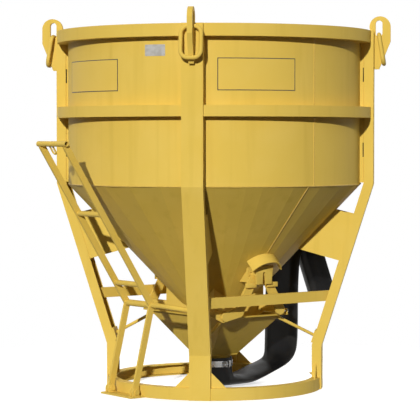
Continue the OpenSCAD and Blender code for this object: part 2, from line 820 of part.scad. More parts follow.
// Bent link that turns in the lever's knee and takes the jaw's pin in a wide eye
module gate_link() {
    arm_l = link_l - link_tube_short;
    color(paint) gate_frame() translate([-lever_knee_r, 0, lever_knee_z]) rotate([0, link_tilt, 0]) {
        translate([0, journal_l - link_start_y, 0]) rotate([90, 0, 0]) cylinder(h = journal_l, d = journal_d);
        translate([0, -link_start_y, 0]) rotate([90, 0, 0])
            cylinder(h = link_y - link_bend_r - link_start_y, d = link_d);
        translate([link_bend_r, link_bend_r - link_y, 0]) rotate([0, 0, 180]) rotate_extrude(angle = quarter)
            translate([link_bend_r, 0]) circle(link_d / 2);
        translate([link_bend_r, -link_y, 0]) rotate([0, quarter, 0])
            cylinder(h = arm_l - link_bend_r, d = link_d);
        gate_plate(-link_eye_y - link_eye_t / 2, -link_eye_y + link_eye_t / 2) difference() {
            bar_outline([arm_l - link_d, 0], [link_l - link_eye_back, link_eye_up],
                link_eye_neck, link_eye_r);
            translate([link_l - link_eye_back, link_eye_up]) circle(link_eye_d / 2);
        }
    }
}

// Chute under the jaws
module chute_room(inset, low, high) {
    wall_x = inset * chute_wall_x / chute_t;
    wall_y = inset * chute_wall_y / chute_t;
    intersection() {
        gate_plate(-2 * chute_y, 2 * chute_y)
            polygon([[-chute_half(high, chute_x) + wall_x, high], [chute_half(high, chute_x) - wall_x, high],
                [chute_half(low, chute_x) - wall_x, low], [-chute_half(low, chute_x) + wall_x, low]]);
        rotate([0, 0, quarter]) gate_plate(-2 * chute_y, 2 * chute_y)
            polygon([[-chute_half(high, chute_y) + wall_y, high], [chute_half(high, chute_y) - wall_y, high],
                [chute_half(low, chute_y) - wall_y, low], [-chute_half(low, chute_y) + wall_y, low]]);
    }
}

module chute() {
    color(paint) gate_frame() difference() {
        union() {
            chute_room(0, spout_z, chute_z);
            translate([-chute_x - chute_lip, -chute_y - chute_lip, chute_z - chute_lip_t])
                cube([2 * (chute_x + chute_lip), 2 * (chute_y + chute_lip), chute_lip_t]);
        }
        chute_room(chute_t, spout_z - over, chute_z + over);
    }
}

module spout() {
    color(paint) gate_frame() difference() {
        union() {
            translate([-chute_foot, -chute_foot, spout_z - chute_lip_t])
                cube([2 * chute_foot, 2 * chute_foot, chute_lip_t]);
            translate([0, 0, spout_low_z]) cylinder(h = spout_z - spout_low_z - chute_lip_t / 2, d = spout_d);
        }
        translate([0, 0, spout_low_z - over]) cylinder(h = spout_z, d = spout_d - 2 * spout_t);
    }
}

module rod(from, to, d) {
    way = to - from;
    translate(from) rotate([0, acos(way[2] / norm(way)), atan2(way[1], way[0])])
        cylinder(h = norm(way), d = d);
}

function stay_corner(k) = [(k == 0 || k == 1) ? 1 : -1, (k == 1 || k == 2) ? 1 : -1];

module chute_stays() {
    out_r = leg_r(stay_leg_z, leg_d);
    color(paint) difference() {
        gate_frame() for (k = [0:3]) rod(
            [stay_corner(k)[0] * chute_half(stay_end_z, chute_x) * stay_in_share,
                stay_corner(k)[1] * chute_half(stay_end_z, chute_y) * stay_in_share, stay_end_z],
            [out_r * cos(k * quarter - gate_angle), out_r * sin(k * quarter - gate_angle), stay_leg_z],
            stay_d);
        gate_frame() chute_room(-weld_gap, spout_z, chute_z + over);
        for (k = [0:3]) rotate([0, 0, k * quarter]) radial_plate(leg_w) polygon([
            [leg_r(stay_leg_z - stay_pad_h, leg_d + stay_pad_t + weld_gap), stay_leg_z - stay_pad_h],
            [leg_r(stay_leg_z + stay_pad_h, leg_d + stay_pad_t + weld_gap), stay_leg_z + stay_pad_h],
            [leg_out_r, stay_leg_z + stay_pad_h], [leg_out_r, stay_leg_z - stay_pad_h]]);
    }
}

module stay_pads() {
    low_z = stay_leg_z - stay_pad_h / 2;
    high_z = stay_leg_z + stay_pad_h / 2;
    color(paint) for (k = [0:3]) rotate([0, 0, k * quarter]) radial_plate(leg_w)
        polygon([[leg_r(low_z, leg_d + weld_gap), low_z], [leg_r(high_z, leg_d + weld_gap), high_z],
            [leg_r(high_z, leg_d + stay_pad_t), high_z], [leg_r(low_z, leg_d + stay_pad_t), low_z]]);
}

// Hose and what holds it
module hose() {
    n = hose_sides;
    rings = len(hose_route);
    outer = [for (i = [0:rings - 1], j = [0:n - 1]) hose_point(i, 360 * j / n, 0)];
    inner = [for (i = [0:rings - 1], j = [0:n - 1]) hose_point(i, 360 * j / n, hose_wall)];
    far = rings * n;
    last = (rings - 1) * n;
    faces = [for (i = [0:rings - 2], j = [0:n - 1]) let (
        a = i * n + j, b = i * n + (j + 1) % n, c = a + n, d = b + n)
        each [[a, b, c], [b, d, c], [far + a, far + c, far + b], [far + b, far + c, far + d]]];
    ends = [for (j = [0:n - 1]) let (a = j, b = (j + 1) % n)
        each [[a, far + a, b], [b, far + a, far + b],
            [last + a, last + b, far + last + a], [last + b, far + last + b, far + last + a]]];
    color(black) gate_frame()
        polyhedron(points = concat(outer, inner), faces = concat(faces, ends), convexity = hose_sides);
}

module hose_clamp() {
    in_r = hose_r + hose_play;
    color(zinc) gate_frame() difference() {
        union() {
            translate([0, 0, clamp_z]) difference() {
                cylinder(h = clamp_h, r = in_r + clamp_t);
                translate([0, 0, -over]) cylinder(h = clamp_h + 2 * over, r = in_r);
            }
            for (s = [-1, 1])
                translate([s * clamp_ear_gap - clamp_ear_t / 2, -in_r - clamp_t - clamp_ear, clamp_z])
                    cube([clamp_ear_t, clamp_ear + clamp_t / 2, clamp_h]);
        }
        translate([0, -in_r - clamp_t - clamp_ear / 2, clamp_z + clamp_h / 2]) rotate([0, quarter, 0])
            cylinder(h = 2 * clamp_bolt_l, d = clamp_bolt_d + 2 * pin_fit, center = true);
    }
}

module clamp_bolt() {
    grip = 2 * clamp_ear_gap + clamp_ear_t;
    color(zinc) gate_frame()
        translate([0, -hose_r - hose_play - clamp_t - clamp_ear / 2, clamp_z + clamp_h / 2])
        rotate([0, quarter, 0]) {
            cylinder(h = grip, d = clamp_bolt_d, center = true);
            for (s = [-1, 1]) translate([0, 0, s * (grip + clamp_head_t) / 2])
                cylinder(h = clamp_head_t, d = 2 * clamp_bolt_d, center = true, $fn = six);
        }
}

// Bow of rod on the cone over which the hose is laid
module hose_rest() {
    r = rest_rod_d / 2;
    color(paint) gate_frame() difference() {
        union() {
            for (s = [-1, 1]) {
                rod([cone_r(rest_z) / 2, s * rest_half_y, rest_z],
                    [rest_x, s * rest_half_y, rest_z], rest_rod_d);
                translate([rest_x, s * rest_half_y, rest_z]) sphere(r);
            }
            rod([rest_x, -rest_half_y, rest_z], [rest_x, rest_half_y, rest_z], rest_rod_d);
        }
        vessel_room(weld_gap);
    }
}

drum();
cone();
rim_band();
mid_band();
for (k = [0:3]) leg(k);
leg_packers();
leg_gussets();
base_ring();
foot_braces();
tie_bar(-1);  // tie_bar_front
tie_bar(1);  // tie_bar_rear
for (k = [0:3]) lug(k);
for (k = [0:3]) bail(k);
outlet_box();
pivot_bracket(-1);  // pivot_bracket_front
pivot_bracket(1);  // pivot_bracket_rear
gear_hood(-1);  // gear_hood_front
gear_hood(1);  // gear_hood_rear
pivot_pins();
pivot_nuts();
chute();
chute_stays();
stay_pads();
spout();
hose();
hose_clamp();
clamp_bolt();
hose_rest();
lever_bracket();
lever_bolts();
lever_bar_left();
lever_bar_right();
lever_handle();
lever_rungs();
lever_knee_tube();
pull_eye();
gate_link();
lever_jaw_pan();
lever_jaw_arms();
link_pin();
hose_jaw_pan();
hose_jaw_arms();
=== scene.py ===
"""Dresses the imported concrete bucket: paint, zinc and rubber, the folded hose, welds, panels and studio."""

from __future__ import annotations

import json
import logging
import math
import random
from dataclasses import dataclass, field
from enum import Enum
from functools import cached_property
from typing import Iterator, Sequence

import bmesh
import bpy
from mathutils import Matrix, Vector

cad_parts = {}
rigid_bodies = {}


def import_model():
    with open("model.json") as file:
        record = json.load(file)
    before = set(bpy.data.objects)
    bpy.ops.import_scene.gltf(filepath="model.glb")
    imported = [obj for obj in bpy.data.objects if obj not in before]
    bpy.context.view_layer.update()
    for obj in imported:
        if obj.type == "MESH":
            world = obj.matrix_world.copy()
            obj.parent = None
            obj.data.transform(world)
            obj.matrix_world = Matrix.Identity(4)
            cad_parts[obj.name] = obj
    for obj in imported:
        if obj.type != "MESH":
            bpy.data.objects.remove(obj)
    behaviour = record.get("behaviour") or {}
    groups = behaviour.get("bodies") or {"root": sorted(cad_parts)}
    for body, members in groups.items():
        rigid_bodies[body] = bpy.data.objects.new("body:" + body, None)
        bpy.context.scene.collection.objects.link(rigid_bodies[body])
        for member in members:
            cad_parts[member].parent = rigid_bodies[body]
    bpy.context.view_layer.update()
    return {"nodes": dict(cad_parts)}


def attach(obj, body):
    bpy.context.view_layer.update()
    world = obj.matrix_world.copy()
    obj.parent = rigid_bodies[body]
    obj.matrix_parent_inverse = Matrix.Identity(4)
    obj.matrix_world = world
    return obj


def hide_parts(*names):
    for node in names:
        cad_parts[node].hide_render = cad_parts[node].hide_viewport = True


LOG = logging.getLogger("concrete_bucket")
MM = 0.001
# Least divisor, which keeps a slope finite.
TINY = 0.001
# Angles in degrees from which an edge is sharp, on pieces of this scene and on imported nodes.
SHARP_PIECE = 40.0
SHARP_NODE = 30.0
Point2 = tuple[float, float]
Colour = tuple[float, float, float, float]
WHITE: Colour = (1.0, 1.0, 1.0, 1.0)
# Colour sockets of the mix node: both inputs and the output.
MIX_FIRST, MIX_SECOND, MIX_RESULT = 6, 7, 2


class Slot(Enum):
    """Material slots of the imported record."""

    PAINT = "paint"
    ZINC = "zinc"
    RUBBER = "rubber"


class Body(Enum):
    """Rigid bodies that the pieces of this scene ride on."""

    BUCKET = "bucket"
    LEVER_JAW = "lever_side_jaw"
    HOSE_JAW = "hose_side_jaw"


def gate_to_row(x: float, y: float, z: float) -> Vector:
    """Turn a point of the gate's frame into the row frame.

    Args:
        x: Distance towards the hose, in millimetres.
        y: Distance along the jaws, in millimetres.
        z: Height in millimetres.

    Returns:
        The point in metres.
    """
    c = math.sqrt(0.5)
    return Vector(((x - y) * c, (x + y) * c, z)) * MM


def polar(r: float, degrees: float, z: float) -> Vector:
    """Place a point round the drum's axis.

    Args:
        r: Radius in millimetres.
        degrees: Angle from +X.
        z: Height in millimetres.

    Returns:
        The point in metres.
    """
    a = math.radians(degrees)
    return Vector((r * math.cos(a), r * math.sin(a), z)) * MM


def add_node(
    tree: bpy.types.NodeTree,
    kind: str,
    inputs: dict[str | int, float] | None = None,
    **settings: str | bpy.types.NodeTree,
) -> bpy.types.Node:
    """Add a shader node to a tree.

    Args:
        tree: The tree.
        kind: Type of the node, without its prefix.
        inputs: Values of its inputs, by name or number.
        **settings: Settings of the node itself, such as its operation.

    Returns:
        The new node.
    """
    node = tree.nodes.new("ShaderNode" + kind)
    for label, choice in settings.items():
        setattr(node, label, choice)
    for label, value in (inputs or {}).items():
        node.inputs[label].default_value = value
    return node


def wire(tree: bpy.types.NodeTree, *links: tuple[bpy.types.NodeSocket, bpy.types.NodeSocket]) -> None:
    """Link sockets of a tree.

    Args:
        tree: The tree.
        *links: The giving and the taking socket of each link.
    """
    for giving, taking in links:
        tree.links.new(giving, taking)


def mix_colours(
    tree: bpy.types.NodeTree, first: Colour | bpy.types.NodeSocket, second: Colour, mask: bpy.types.NodeSocket
) -> bpy.types.NodeSocket:
    """Mix two colours by a mask.

    Args:
        tree: Tree to add to.
        first: Colour where the mask is 0, or the socket that gives it.
        second: Colour where the mask is 1.
        mask: The mask's socket.

    Returns:
        The mixed colour's socket.
    """
    mix = add_node(tree, "Mix", data_type="RGBA")
    if isinstance(first, bpy.types.NodeSocket):
        wire(tree, (first, mix.inputs[MIX_FIRST]))
    else:
        mix.inputs[MIX_FIRST].default_value = first
    mix.inputs[MIX_SECOND].default_value = second
    wire(tree, (mask, mix.inputs[0]))
    return mix.outputs[MIX_RESULT]


@dataclass
class NodeGroups:
    """Shader node groups that several finishes share, each built at its first use.

    Attributes:
        patch_detail: Detail of the noise of the patches.
        run_detail: Detail of the noise of the streaks.
        fine_share: Height of the fine grain as a share of the broad waves.
    """

    patch_detail: float = 6.0
    run_detail: float = 4.0
    fine_share: float = 0.25

    @cached_property
    def mottle(self) -> bpy.types.NodeTree:
        """Build the group of soft cloudy patches.

        Returns:
            A group with inputs Scale, Low and High and the output Mask.
        """
        tree, source, out = self._start("mottle", {"Scale": 6.0, "Low": 0.4, "High": 0.7}, "Mask")
        place = add_node(tree, "TexCoord")
        self._cloud(tree, source, out, place.outputs["Object"], self.patch_detail)
        return tree

    @cached_property
    def runs(self) -> bpy.types.NodeTree:
        """Build the group of streaks that run down a wall.

        Returns:
            A group with inputs Scale, Stretch, Low and High and the output Mask.
        """
        inputs = {"Scale": 18.0, "Stretch": 0.06, "Low": 0.5, "High": 0.75}
        tree, source, out = self._start("runs", inputs, "Mask")
        place = add_node(tree, "TexCoord")
        split = add_node(tree, "SeparateXYZ")
        squeeze = add_node(tree, "Math", operation="MULTIPLY")
        join = add_node(tree, "CombineXYZ")
        wire(
            tree,
            (place.outputs["Object"], split.inputs["Vector"]),
            (split.outputs["Z"], squeeze.inputs[0]),
            (source.outputs["Stretch"], squeeze.inputs[1]),
            (split.outputs["X"], join.inputs["X"]),
            (split.outputs["Y"], join.inputs["Y"]),
            (squeeze.outputs["Value"], join.inputs["Z"]),
        )
        self._cloud(tree, source, out, join.outputs["Vector"], self.run_detail)
        return tree

    @cached_property
    def grain(self) -> bpy.types.NodeTree:
        """Build the group of fine surface grain.

        Returns:
            A group with inputs Scale and Coarse and the output Height.
        """
        tree, source, out = self._start("grain", {"Scale": 900.0, "Coarse": 25.0}, "Height")
        place = add_node(tree, "TexCoord")
        add = add_node(tree, "Math", {1: self.fine_share}, operation="MULTIPLY_ADD")
        for label, number in (("Scale", 0), ("Coarse", 2)):
            noise = add_node(tree, "TexNoise")
            wire(
                tree,
                (place.outputs["Object"], noise.inputs["Vector"]),
                (source.outputs[label], noise.inputs["Scale"]),
                (noise.outputs["Fac"], add.inputs[number]),
            )
        wire(tree, (add.outputs["Value"], out.inputs["Height"]))
        return tree

    @staticmethod
    def _start(
        name: str, inputs: dict[str, float], output: str
    ) -> tuple[bpy.types.NodeTree, bpy.types.Node, bpy.types.Node]:
        """Make an empty group with float sockets.

        Args:
            name: Name of the group.
            inputs: Input names with their default values.
            output: Name of the output.

        Returns:
            The tree, its input node and its output node.
        """
        tree = bpy.data.node_groups.new(name, "ShaderNodeTree")
        for label, value in inputs.items():
            socket = tree.interface.new_socket(label, in_out="INPUT", socket_type="NodeSocketFloat")
            socket.default_value = value
        tree.interface.new_socket(output, in_out="OUTPUT", socket_type="NodeSocketFloat")
        return tree, tree.nodes.new("NodeGroupInput"), tree.nodes.new("NodeGroupOutput")

    @staticmethod
    def _cloud(
        tree: bpy.types.NodeTree,
        source: bpy.types.Node,
        out: bpy.types.Node,
        place: bpy.types.NodeSocket,
        detail: float,
    ) -> None:
        """Add noise that the inputs Scale, Low and High turn into the output Mask.

        Args:
            tree: The group's tree.
            source: Its input node.
            out: Its output node.
            place: Socket of the place on the surface.
            detail: Detail of the noise.
        """
        noise = add_node(tree, "TexNoise", {"Detail": detail})
        spread = add_node(tree, "MapRange")
        wire(
            tree,
            (place, noise.inputs["Vector"]),
            (source.outputs["Scale"], noise.inputs["Scale"]),
            (noise.outputs["Fac"], spread.inputs["Value"]),
            (source.outputs["Low"], spread.inputs["From Min"]),
            (source.outputs["High"], spread.inputs["From Max"]),
            (spread.outputs["Result"], out.inputs["Mask"]),
        )


@dataclass(frozen=True)
class Finish:
    """What every finish has: a name, two colours that mix in patches, and two roughness values.

    Attributes:
        name: Name of the Blender material.
        main: Colour over most of the surface.
        worn: Colour of the patches.
        smooth: Roughness over most of the surface.
        rough: Roughness of the patches.
        metallic: How metallic the surface is.
        specular: Level of the gloss.
        patch_scale: How many patches lie on a metre.
        patch_low: Noise value at which a patch starts.
        patch_high: Noise value at which it is full.
        run_colour: Colour of the streaks, if any.
        run_low: Noise value at which a streak starts.
        run_high: Noise value at which it is full.
        grain_scale: How many fine grains lie on a metre.
        grain_coarse: How many broad waves lie on a metre.
        grain_depth: Depth of the grain, in metres.
        grain_strength: How much of the grain shows.
    """

    name: str
    main: Colour
    worn: Colour
    smooth: float
    rough: float
    metallic: float = 0.0
    specular: float = 0.5
    patch_scale: float = 5.0
    patch_low: float = 0.42
    patch_high: float = 0.72
    run_colour: Colour | None = None
    run_low: float = 0.55
    run_high: float = 0.80
    grain_scale: float = 700.0
    grain_coarse: float = 22.0
    grain_depth: float = 0.0004
    grain_strength: float = 0.6

    def material(self, groups: NodeGroups) -> bpy.types.Material:
        """Build the material.

        Args:
            groups: Shared node groups.

        Returns:
            The new material.
        """
        made = bpy.data.materials.new(self.name)
        made.use_nodes = True
        tree = made.node_tree
        shader = tree.nodes["Principled BSDF"]
        shader.inputs["Metallic"].default_value = self.metallic
        shader.inputs["Specular IOR Level"].default_value = self.specular
        patch = {"Scale": self.patch_scale, "Low": self.patch_low, "High": self.patch_high}
        mask = add_node(tree, "Group", patch, node_tree=groups.mottle).outputs["Mask"]
        colour = mix_colours(tree, self.main, self.worn, mask)
        if self.run_colour is not None:
            streak = {"Low": self.run_low, "High": self.run_high}
            runs = add_node(tree, "Group", streak, node_tree=groups.runs)
            colour = mix_colours(tree, colour, self.run_colour, runs.outputs["Mask"])
        spread = add_node(tree, "MapRange", {"To Min": self.smooth, "To Max": self.rough})
        fine = {"Scale": self.grain_scale, "Coarse": self.grain_coarse}
        grain = add_node(tree, "Group", fine, node_tree=groups.grain)
        bump = add_node(tree, "Bump", {"Distance": self.grain_depth, "Strength": self.grain_strength})
        wire(
            tree,
            (colour, shader.inputs["Base Color"]),
            (mask, spread.inputs["Value"]),
            (spread.outputs["Result"], shader.inputs["Roughness"]),
            (grain.outputs["Height"], bump.inputs["Height"]),
            (bump.outputs["Normal"], shader.inputs["Normal"]),
        )
        return made


MUSTARD_PAINT = Finish(
    name="mustard_paint",
    main=(0.695, 0.480, 0.086, 1.0),
    worn=(0.722, 0.508, 0.106, 1.0),
    smooth=0.56,
    rough=0.68,
    specular=0.26,
    run_colour=(0.640, 0.438, 0.076, 1.0),
)
# Darker copy of the mustard paint: painted shade of the cone, whose sheet faces downwards.
CONE_SHADED_PAINT = Finish(
    name="cone_shaded_paint",
    main=(0.600, 0.413, 0.066, 1.0),
    worn=(0.640, 0.446, 0.082, 1.0),
    smooth=0.56,
    rough=0.68,
    specular=0.24,
    run_colour=(0.545, 0.372, 0.056, 1.0),
)
# Darker copy of the mustard paint: painted shade on the chute and the spout.
CHUTE_SHADED_PAINT = Finish(
    name="chute_shaded_paint",
    main=(0.560, 0.386, 0.058, 1.0),
    worn=(0.600, 0.420, 0.074, 1.0),
    smooth=0.56,
    rough=0.68,
    specular=0.24,
    patch_scale=9.0,
    run_colour=(0.470, 0.320, 0.052, 1.0),
)
WELD_PAINT = Finish(
    name="weld_paint",
    main=(0.640, 0.425, 0.075, 1.0),
    worn=(0.560, 0.372, 0.072, 1.0),
    smooth=0.42,
    rough=0.60,
    patch_scale=60.0,
    grain_scale=260.0,
    grain_coarse=120.0,
    grain_depth=0.0015,
)
BRIGHT_ZINC = Finish(
    name="bright_zinc",
    main=(0.44, 0.45, 0.46, 1.0),
    worn=(0.30, 0.30, 0.29, 1.0),
    smooth=0.26,
    rough=0.42,
    metallic=1.0,
    patch_scale=40.0,
    grain_depth=0.0002,
)
BLACK_RUBBER = Finish(
    name="black_rubber",
    main=(0.006, 0.006, 0.0065, 1.0),
    worn=(0.016, 0.0155, 0.0145, 1.0),
    smooth=0.40,
    rough=0.56,
    specular=0.22,
    patch_scale=9.0,
    grain_scale=420.0,
    grain_coarse=30.0,
    grain_depth=0.0012,
)
DARK_BORDER = Finish(
    name="dark_border",
    main=(0.040, 0.038, 0.036, 1.0),
    worn=(0.090, 0.075, 0.045, 1.0),
    smooth=0.42,
    rough=0.55,
    patch_scale=30.0,
    grain_depth=0.0002,
)
PANEL_FILM = Finish(
    name="panel_film",
    main=(0.695, 0.480, 0.088, 1.0),
    worn=(0.715, 0.500, 0.104, 1.0),
    smooth=0.48,
    rough=0.60,
    specular=0.26,
    patch_scale=7.0,
    grain_depth=0.0001,
)
# Dark brown strips that stand for the shade in the open joints: painted shade.
PAINTED_GAP_SHADE = Finish(
    name="painted_gap_shade",
    main=(0.050, 0.038, 0.016, 1.0),
    worn=(0.095, 0.070, 0.026, 1.0),
    smooth=0.80,
    rough=0.92,
    specular=0.10,
    patch_scale=45.0,
    grain_depth=0.0002,
)
GREY_PLATE = Finish(
    name="grey_plate",
    main=(0.50, 0.49, 0.46, 1.0),
    worn=(0.40, 0.38, 0.34, 1.0),
    smooth=0.34,
    rough=0.48,
    metallic=0.6,
    patch_scale=35.0,
    grain_depth=0.0002,
)


class Palette:
    """Materials of this scene, built once each."""

    def __init__(self) -> None:
        """Start with no material built."""
        self._groups = NodeGroups()
        self._made: dict[str, bpy.types.Material] = {}

    def get(self, finish: Finish) -> bpy.types.Material:
        """Return the material of a finish.

        Args:
            finish: The finish.

        Returns:
            Its material, built at the first call.
        """
        if finish.name not in self._made:
            self._made[finish.name] = finish.material(self._groups)
        return self._made[finish.name]


def add_mesh(
    name: str, mesh: bmesh.types.BMesh, material: bpy.types.Material, sharp: float = SHARP_PIECE
) -> bpy.types.Object:
    """Put a mesh in the scene as a smooth piece.

    Args:
        name: Name of the piece.
        mesh: Its mesh, which is freed.
        material: Its material.
        sharp: Angle from which an edge is sharp, in degrees.

    Returns:
        The new object.
    """
    data = bpy.data.meshes.new(name)
    bmesh.ops.recalc_face_normals(mesh, faces=mesh.faces)
    mesh.to_mesh(data)
    mesh.free()
    data.materials.append(material)
    piece = bpy.data.objects.new(name, data)
    bpy.context.scene.collection.objects.link(piece)
    data.shade_smooth()
    data.set_sharp_from_angle(angle=math.radians(sharp))
    return piece


def join_rings(
    mesh: bmesh.types.BMesh, first: Sequence[bmesh.types.BMVert], second: Sequence[bmesh.types.BMVert]
) -> list[bmesh.types.BMFace]:
    """Join two rings with faces.

    Args:
        mesh: Mesh to add to.
        first: One ring.
        second: The next ring.

    Returns:
        The new faces.
    """
    faces = []
    for k in range(len(first)):
        j = (k + 1) % len(first)
        faces.append(mesh.faces.new((first[k], first[j], second[j], second[k])))
    return faces


def join_tube(mesh: bmesh.types.BMesh, rings: Sequence[Sequence[bmesh.types.BMVert]]) -> None:
    """Join rings to a tube or prism with closed ends.

    Args:
        mesh: Mesh to add to.
        rings: The rings in order.
    """
    for first, second in zip(rings, rings[1:]):
        join_rings(mesh, first, second)
    mesh.faces.new(rings[0][::-1])
    mesh.faces.new(rings[-1])


def fold_back(
    mesh: bmesh.types.BMesh, columns: Sequence[list[bmesh.types.BMVert]], share: float
) -> list[bmesh.types.BMFace]:
    """Fold the open edges of a bent plate back to the drum.

    Args:
        mesh: The plate's mesh.
        columns: The plate's vertices from its foot to its top, column by column.
        share: Radius of the drum as a share of the plate's.

    Returns:
        The new faces.
    """
    feet, tops = [column[0] for column in columns], [column[-1] for column in columns]
    rim = feet + columns[-1][1:-1] + tops[::-1] + columns[0][-2:0:-1]
    skirt = [mesh.verts.new((vert.co.x * share, vert.co.y * share, vert.co.z)) for vert in rim]
    return join_rings(mesh, rim, skirt)


def seat(piece: bpy.types.Object, body: Body, slot: Slot) -> bpy.types.Object:
    """Let a piece ride on a body.

    Args:
        piece: The piece.
        body: The body that carries it.
        slot: The record's slot that it belongs to; not used.

    Returns:
        The piece.
    """
    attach(piece, body.value)
    return piece


@dataclass(frozen=True)
class Vessel:
    """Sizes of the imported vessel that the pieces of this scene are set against, in millimetres.

    Attributes:
        drum_r: Outer radius of the drum.
        sheet_t: Thickness of the drum's sheet.
        rim_z: Height of the rim.
        cone_tip_z: Height of the point that the cone runs to.
        cone_top_z: Height of the joint between cone and drum.
        cone_wall: Thickness of the cone's sheet on the level.
    """

    drum_r: float = 745.0
    sheet_t: float = 4.0
    rim_z: float = 1812.0
    cone_tip_z: float = 251.4
    cone_top_z: float = 1042.0
    cone_wall: float = 5.5


@dataclass
class SubAssembly:
    """What every sub-assembly of this scene has.

    Attributes:
        palette: Materials of the scene.
        vessel: Sizes of the vessel.
    """

    palette: Palette
    vessel: Vessel = Vessel()

    def build(self) -> list[bpy.types.Object]:
        """Return the new pieces, each set on its body."""
        raise NotImplementedError


@dataclass
class CadDress:
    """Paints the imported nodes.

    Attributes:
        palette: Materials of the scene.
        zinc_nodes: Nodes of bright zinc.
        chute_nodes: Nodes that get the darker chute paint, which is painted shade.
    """

    palette: Palette
    zinc_nodes: tuple[str, ...] = ("hose_clamp", "clamp_bolt")
    chute_nodes: tuple[str, ...] = ("chute", "spout")

    def dress(self, nodes: dict[str, bpy.types.Object]) -> None:
        """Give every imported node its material.

        Args:
            nodes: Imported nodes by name.
        """
        for name, node in nodes.items():
            node.data.materials.clear()
            node.data.materials.append(self.palette.get(self._finish(name)))
            node.data.shade_smooth()
            node.data.set_sharp_from_angle(angle=math.radians(SHARP_NODE))
            LOG.info("node %s dressed", name)

    def _finish(self, name: str) -> Finish:
        """Choose the finish of a node.

        Args:
            name: The node's name.

        Returns:
            The finish.
        """
        if name in self.zinc_nodes:
            return BRIGHT_ZINC
        if name == "hose":
            return BLACK_RUBBER
        # The chute and the spout get the darker paint, which is painted shade.
        if name in self.chute_nodes:
            return CHUTE_SHADED_PAINT
        return MUSTARD_PAINT


@dataclass
class ConeShell(SubAssembly):
    """Cone bent to flat strips by a press, with the outlet's opening at its foot.

    Attributes:
        opening: Half the width and half the length of the outlet's opening, in millimetres.
        gate_turn: Angle of the opening round the axis, in degrees.
        strips: Number of flat strips.
        waver: How far an edge between strips departs from the true cone at the top, in millimetres.
        waver_share: Least and greatest share of that, outwards and inwards by turns.
        sharp: Angle from which an edge shows, in degrees.
        seed: Start of the small changes of the edges.
    """

    opening: Point2 = (154.0, 194.0)
    gate_turn: float = 45.0
    strips: int = 56
    waver: float = 4.2
    waver_share: Point2 = (-0.2, 1.0)
    sharp: float = 0.2
    seed: int = 5

    def build(self) -> list[bpy.types.Object]:
        """Make the cone and set it on the bucket in place of the smooth one.

        Returns:
            The cone.
        """
        mesh = bmesh.new()
        columns = [self._column(mesh, *stop) for stop in self._stops()]
        rings = list(zip(*columns))
        for first, second in zip(rings, rings[1:] + rings[:1]):
            join_rings(mesh, first, second)
        # The cone's darker paint is painted shade.
        piece = add_mesh("cone_shell", mesh, self.palette.get(CONE_SHADED_PAINT), self.sharp)
        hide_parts("cone")
        return [seat(piece, Body.BUCKET, Slot.PAINT)]

    def _stops(self) -> list[Point2]:
        """List the edges of the strips, and the places over the opening's corners.

        Returns:
            Angle in degrees and departure from the true cone at the top in millimetres, in order.
        """
        chance = random.Random(self.seed)
        drum_r, width = self.vessel.drum_r, 360.0 / self.strips
        edges = [self.waver * (-1) ** i * chance.uniform(*self.waver_share) for i in range(self.strips)]
        stops = [(width * i, edge) for i, edge in enumerate(edges)]
        corner = math.degrees(math.atan2(self.opening[1], self.opening[0]))
        for turn in (corner, 180.0 - corner, 180.0 + corner, 360.0 - corner):
            angle = (turn + self.gate_turn) % 360.0
            i = int(angle // width)
            before, after = drum_r + edges[i], drum_r + edges[(i + 1) % self.strips]
            a, b = math.radians(angle - width * i), math.radians(width * (i + 1) - angle)
            flat = before * after * math.sin(a + b) / (before * math.sin(a) + after * math.sin(b))
            stops.append((angle, flat - drum_r))
        return sorted(stops)

    def _column(self, mesh: bmesh.types.BMesh, angle: float, edge: float) -> list[bmesh.types.BMVert]:
        """Add the four corners of the sheet at an angle.

        Args:
            mesh: Mesh to add to.
            angle: The angle in degrees.
            edge: Departure from the true cone at the top, in millimetres.

        Returns:
            The outer top, outer foot, inner foot and inner top.
        """
        tip, top, wall = self.vessel.cone_tip_z, self.vessel.cone_top_z, self.vessel.cone_wall
        top_r = self.vessel.drum_r + edge
        rise = (top - tip) / top_r
        turn = math.radians(angle - self.gate_turn)
        sides = (abs(math.cos(turn)), abs(math.sin(turn)))
        foot = min(half / max(side, TINY) for half, side in zip(self.opening, sides))
        corners = [
            (top_r, top),
            (foot, tip + foot * rise),
            (foot, tip + (foot + wall) * rise),
            (top_r - wall, top),
        ]
        return [mesh.verts.new(polar(r, angle, z)) for r, z in corners]


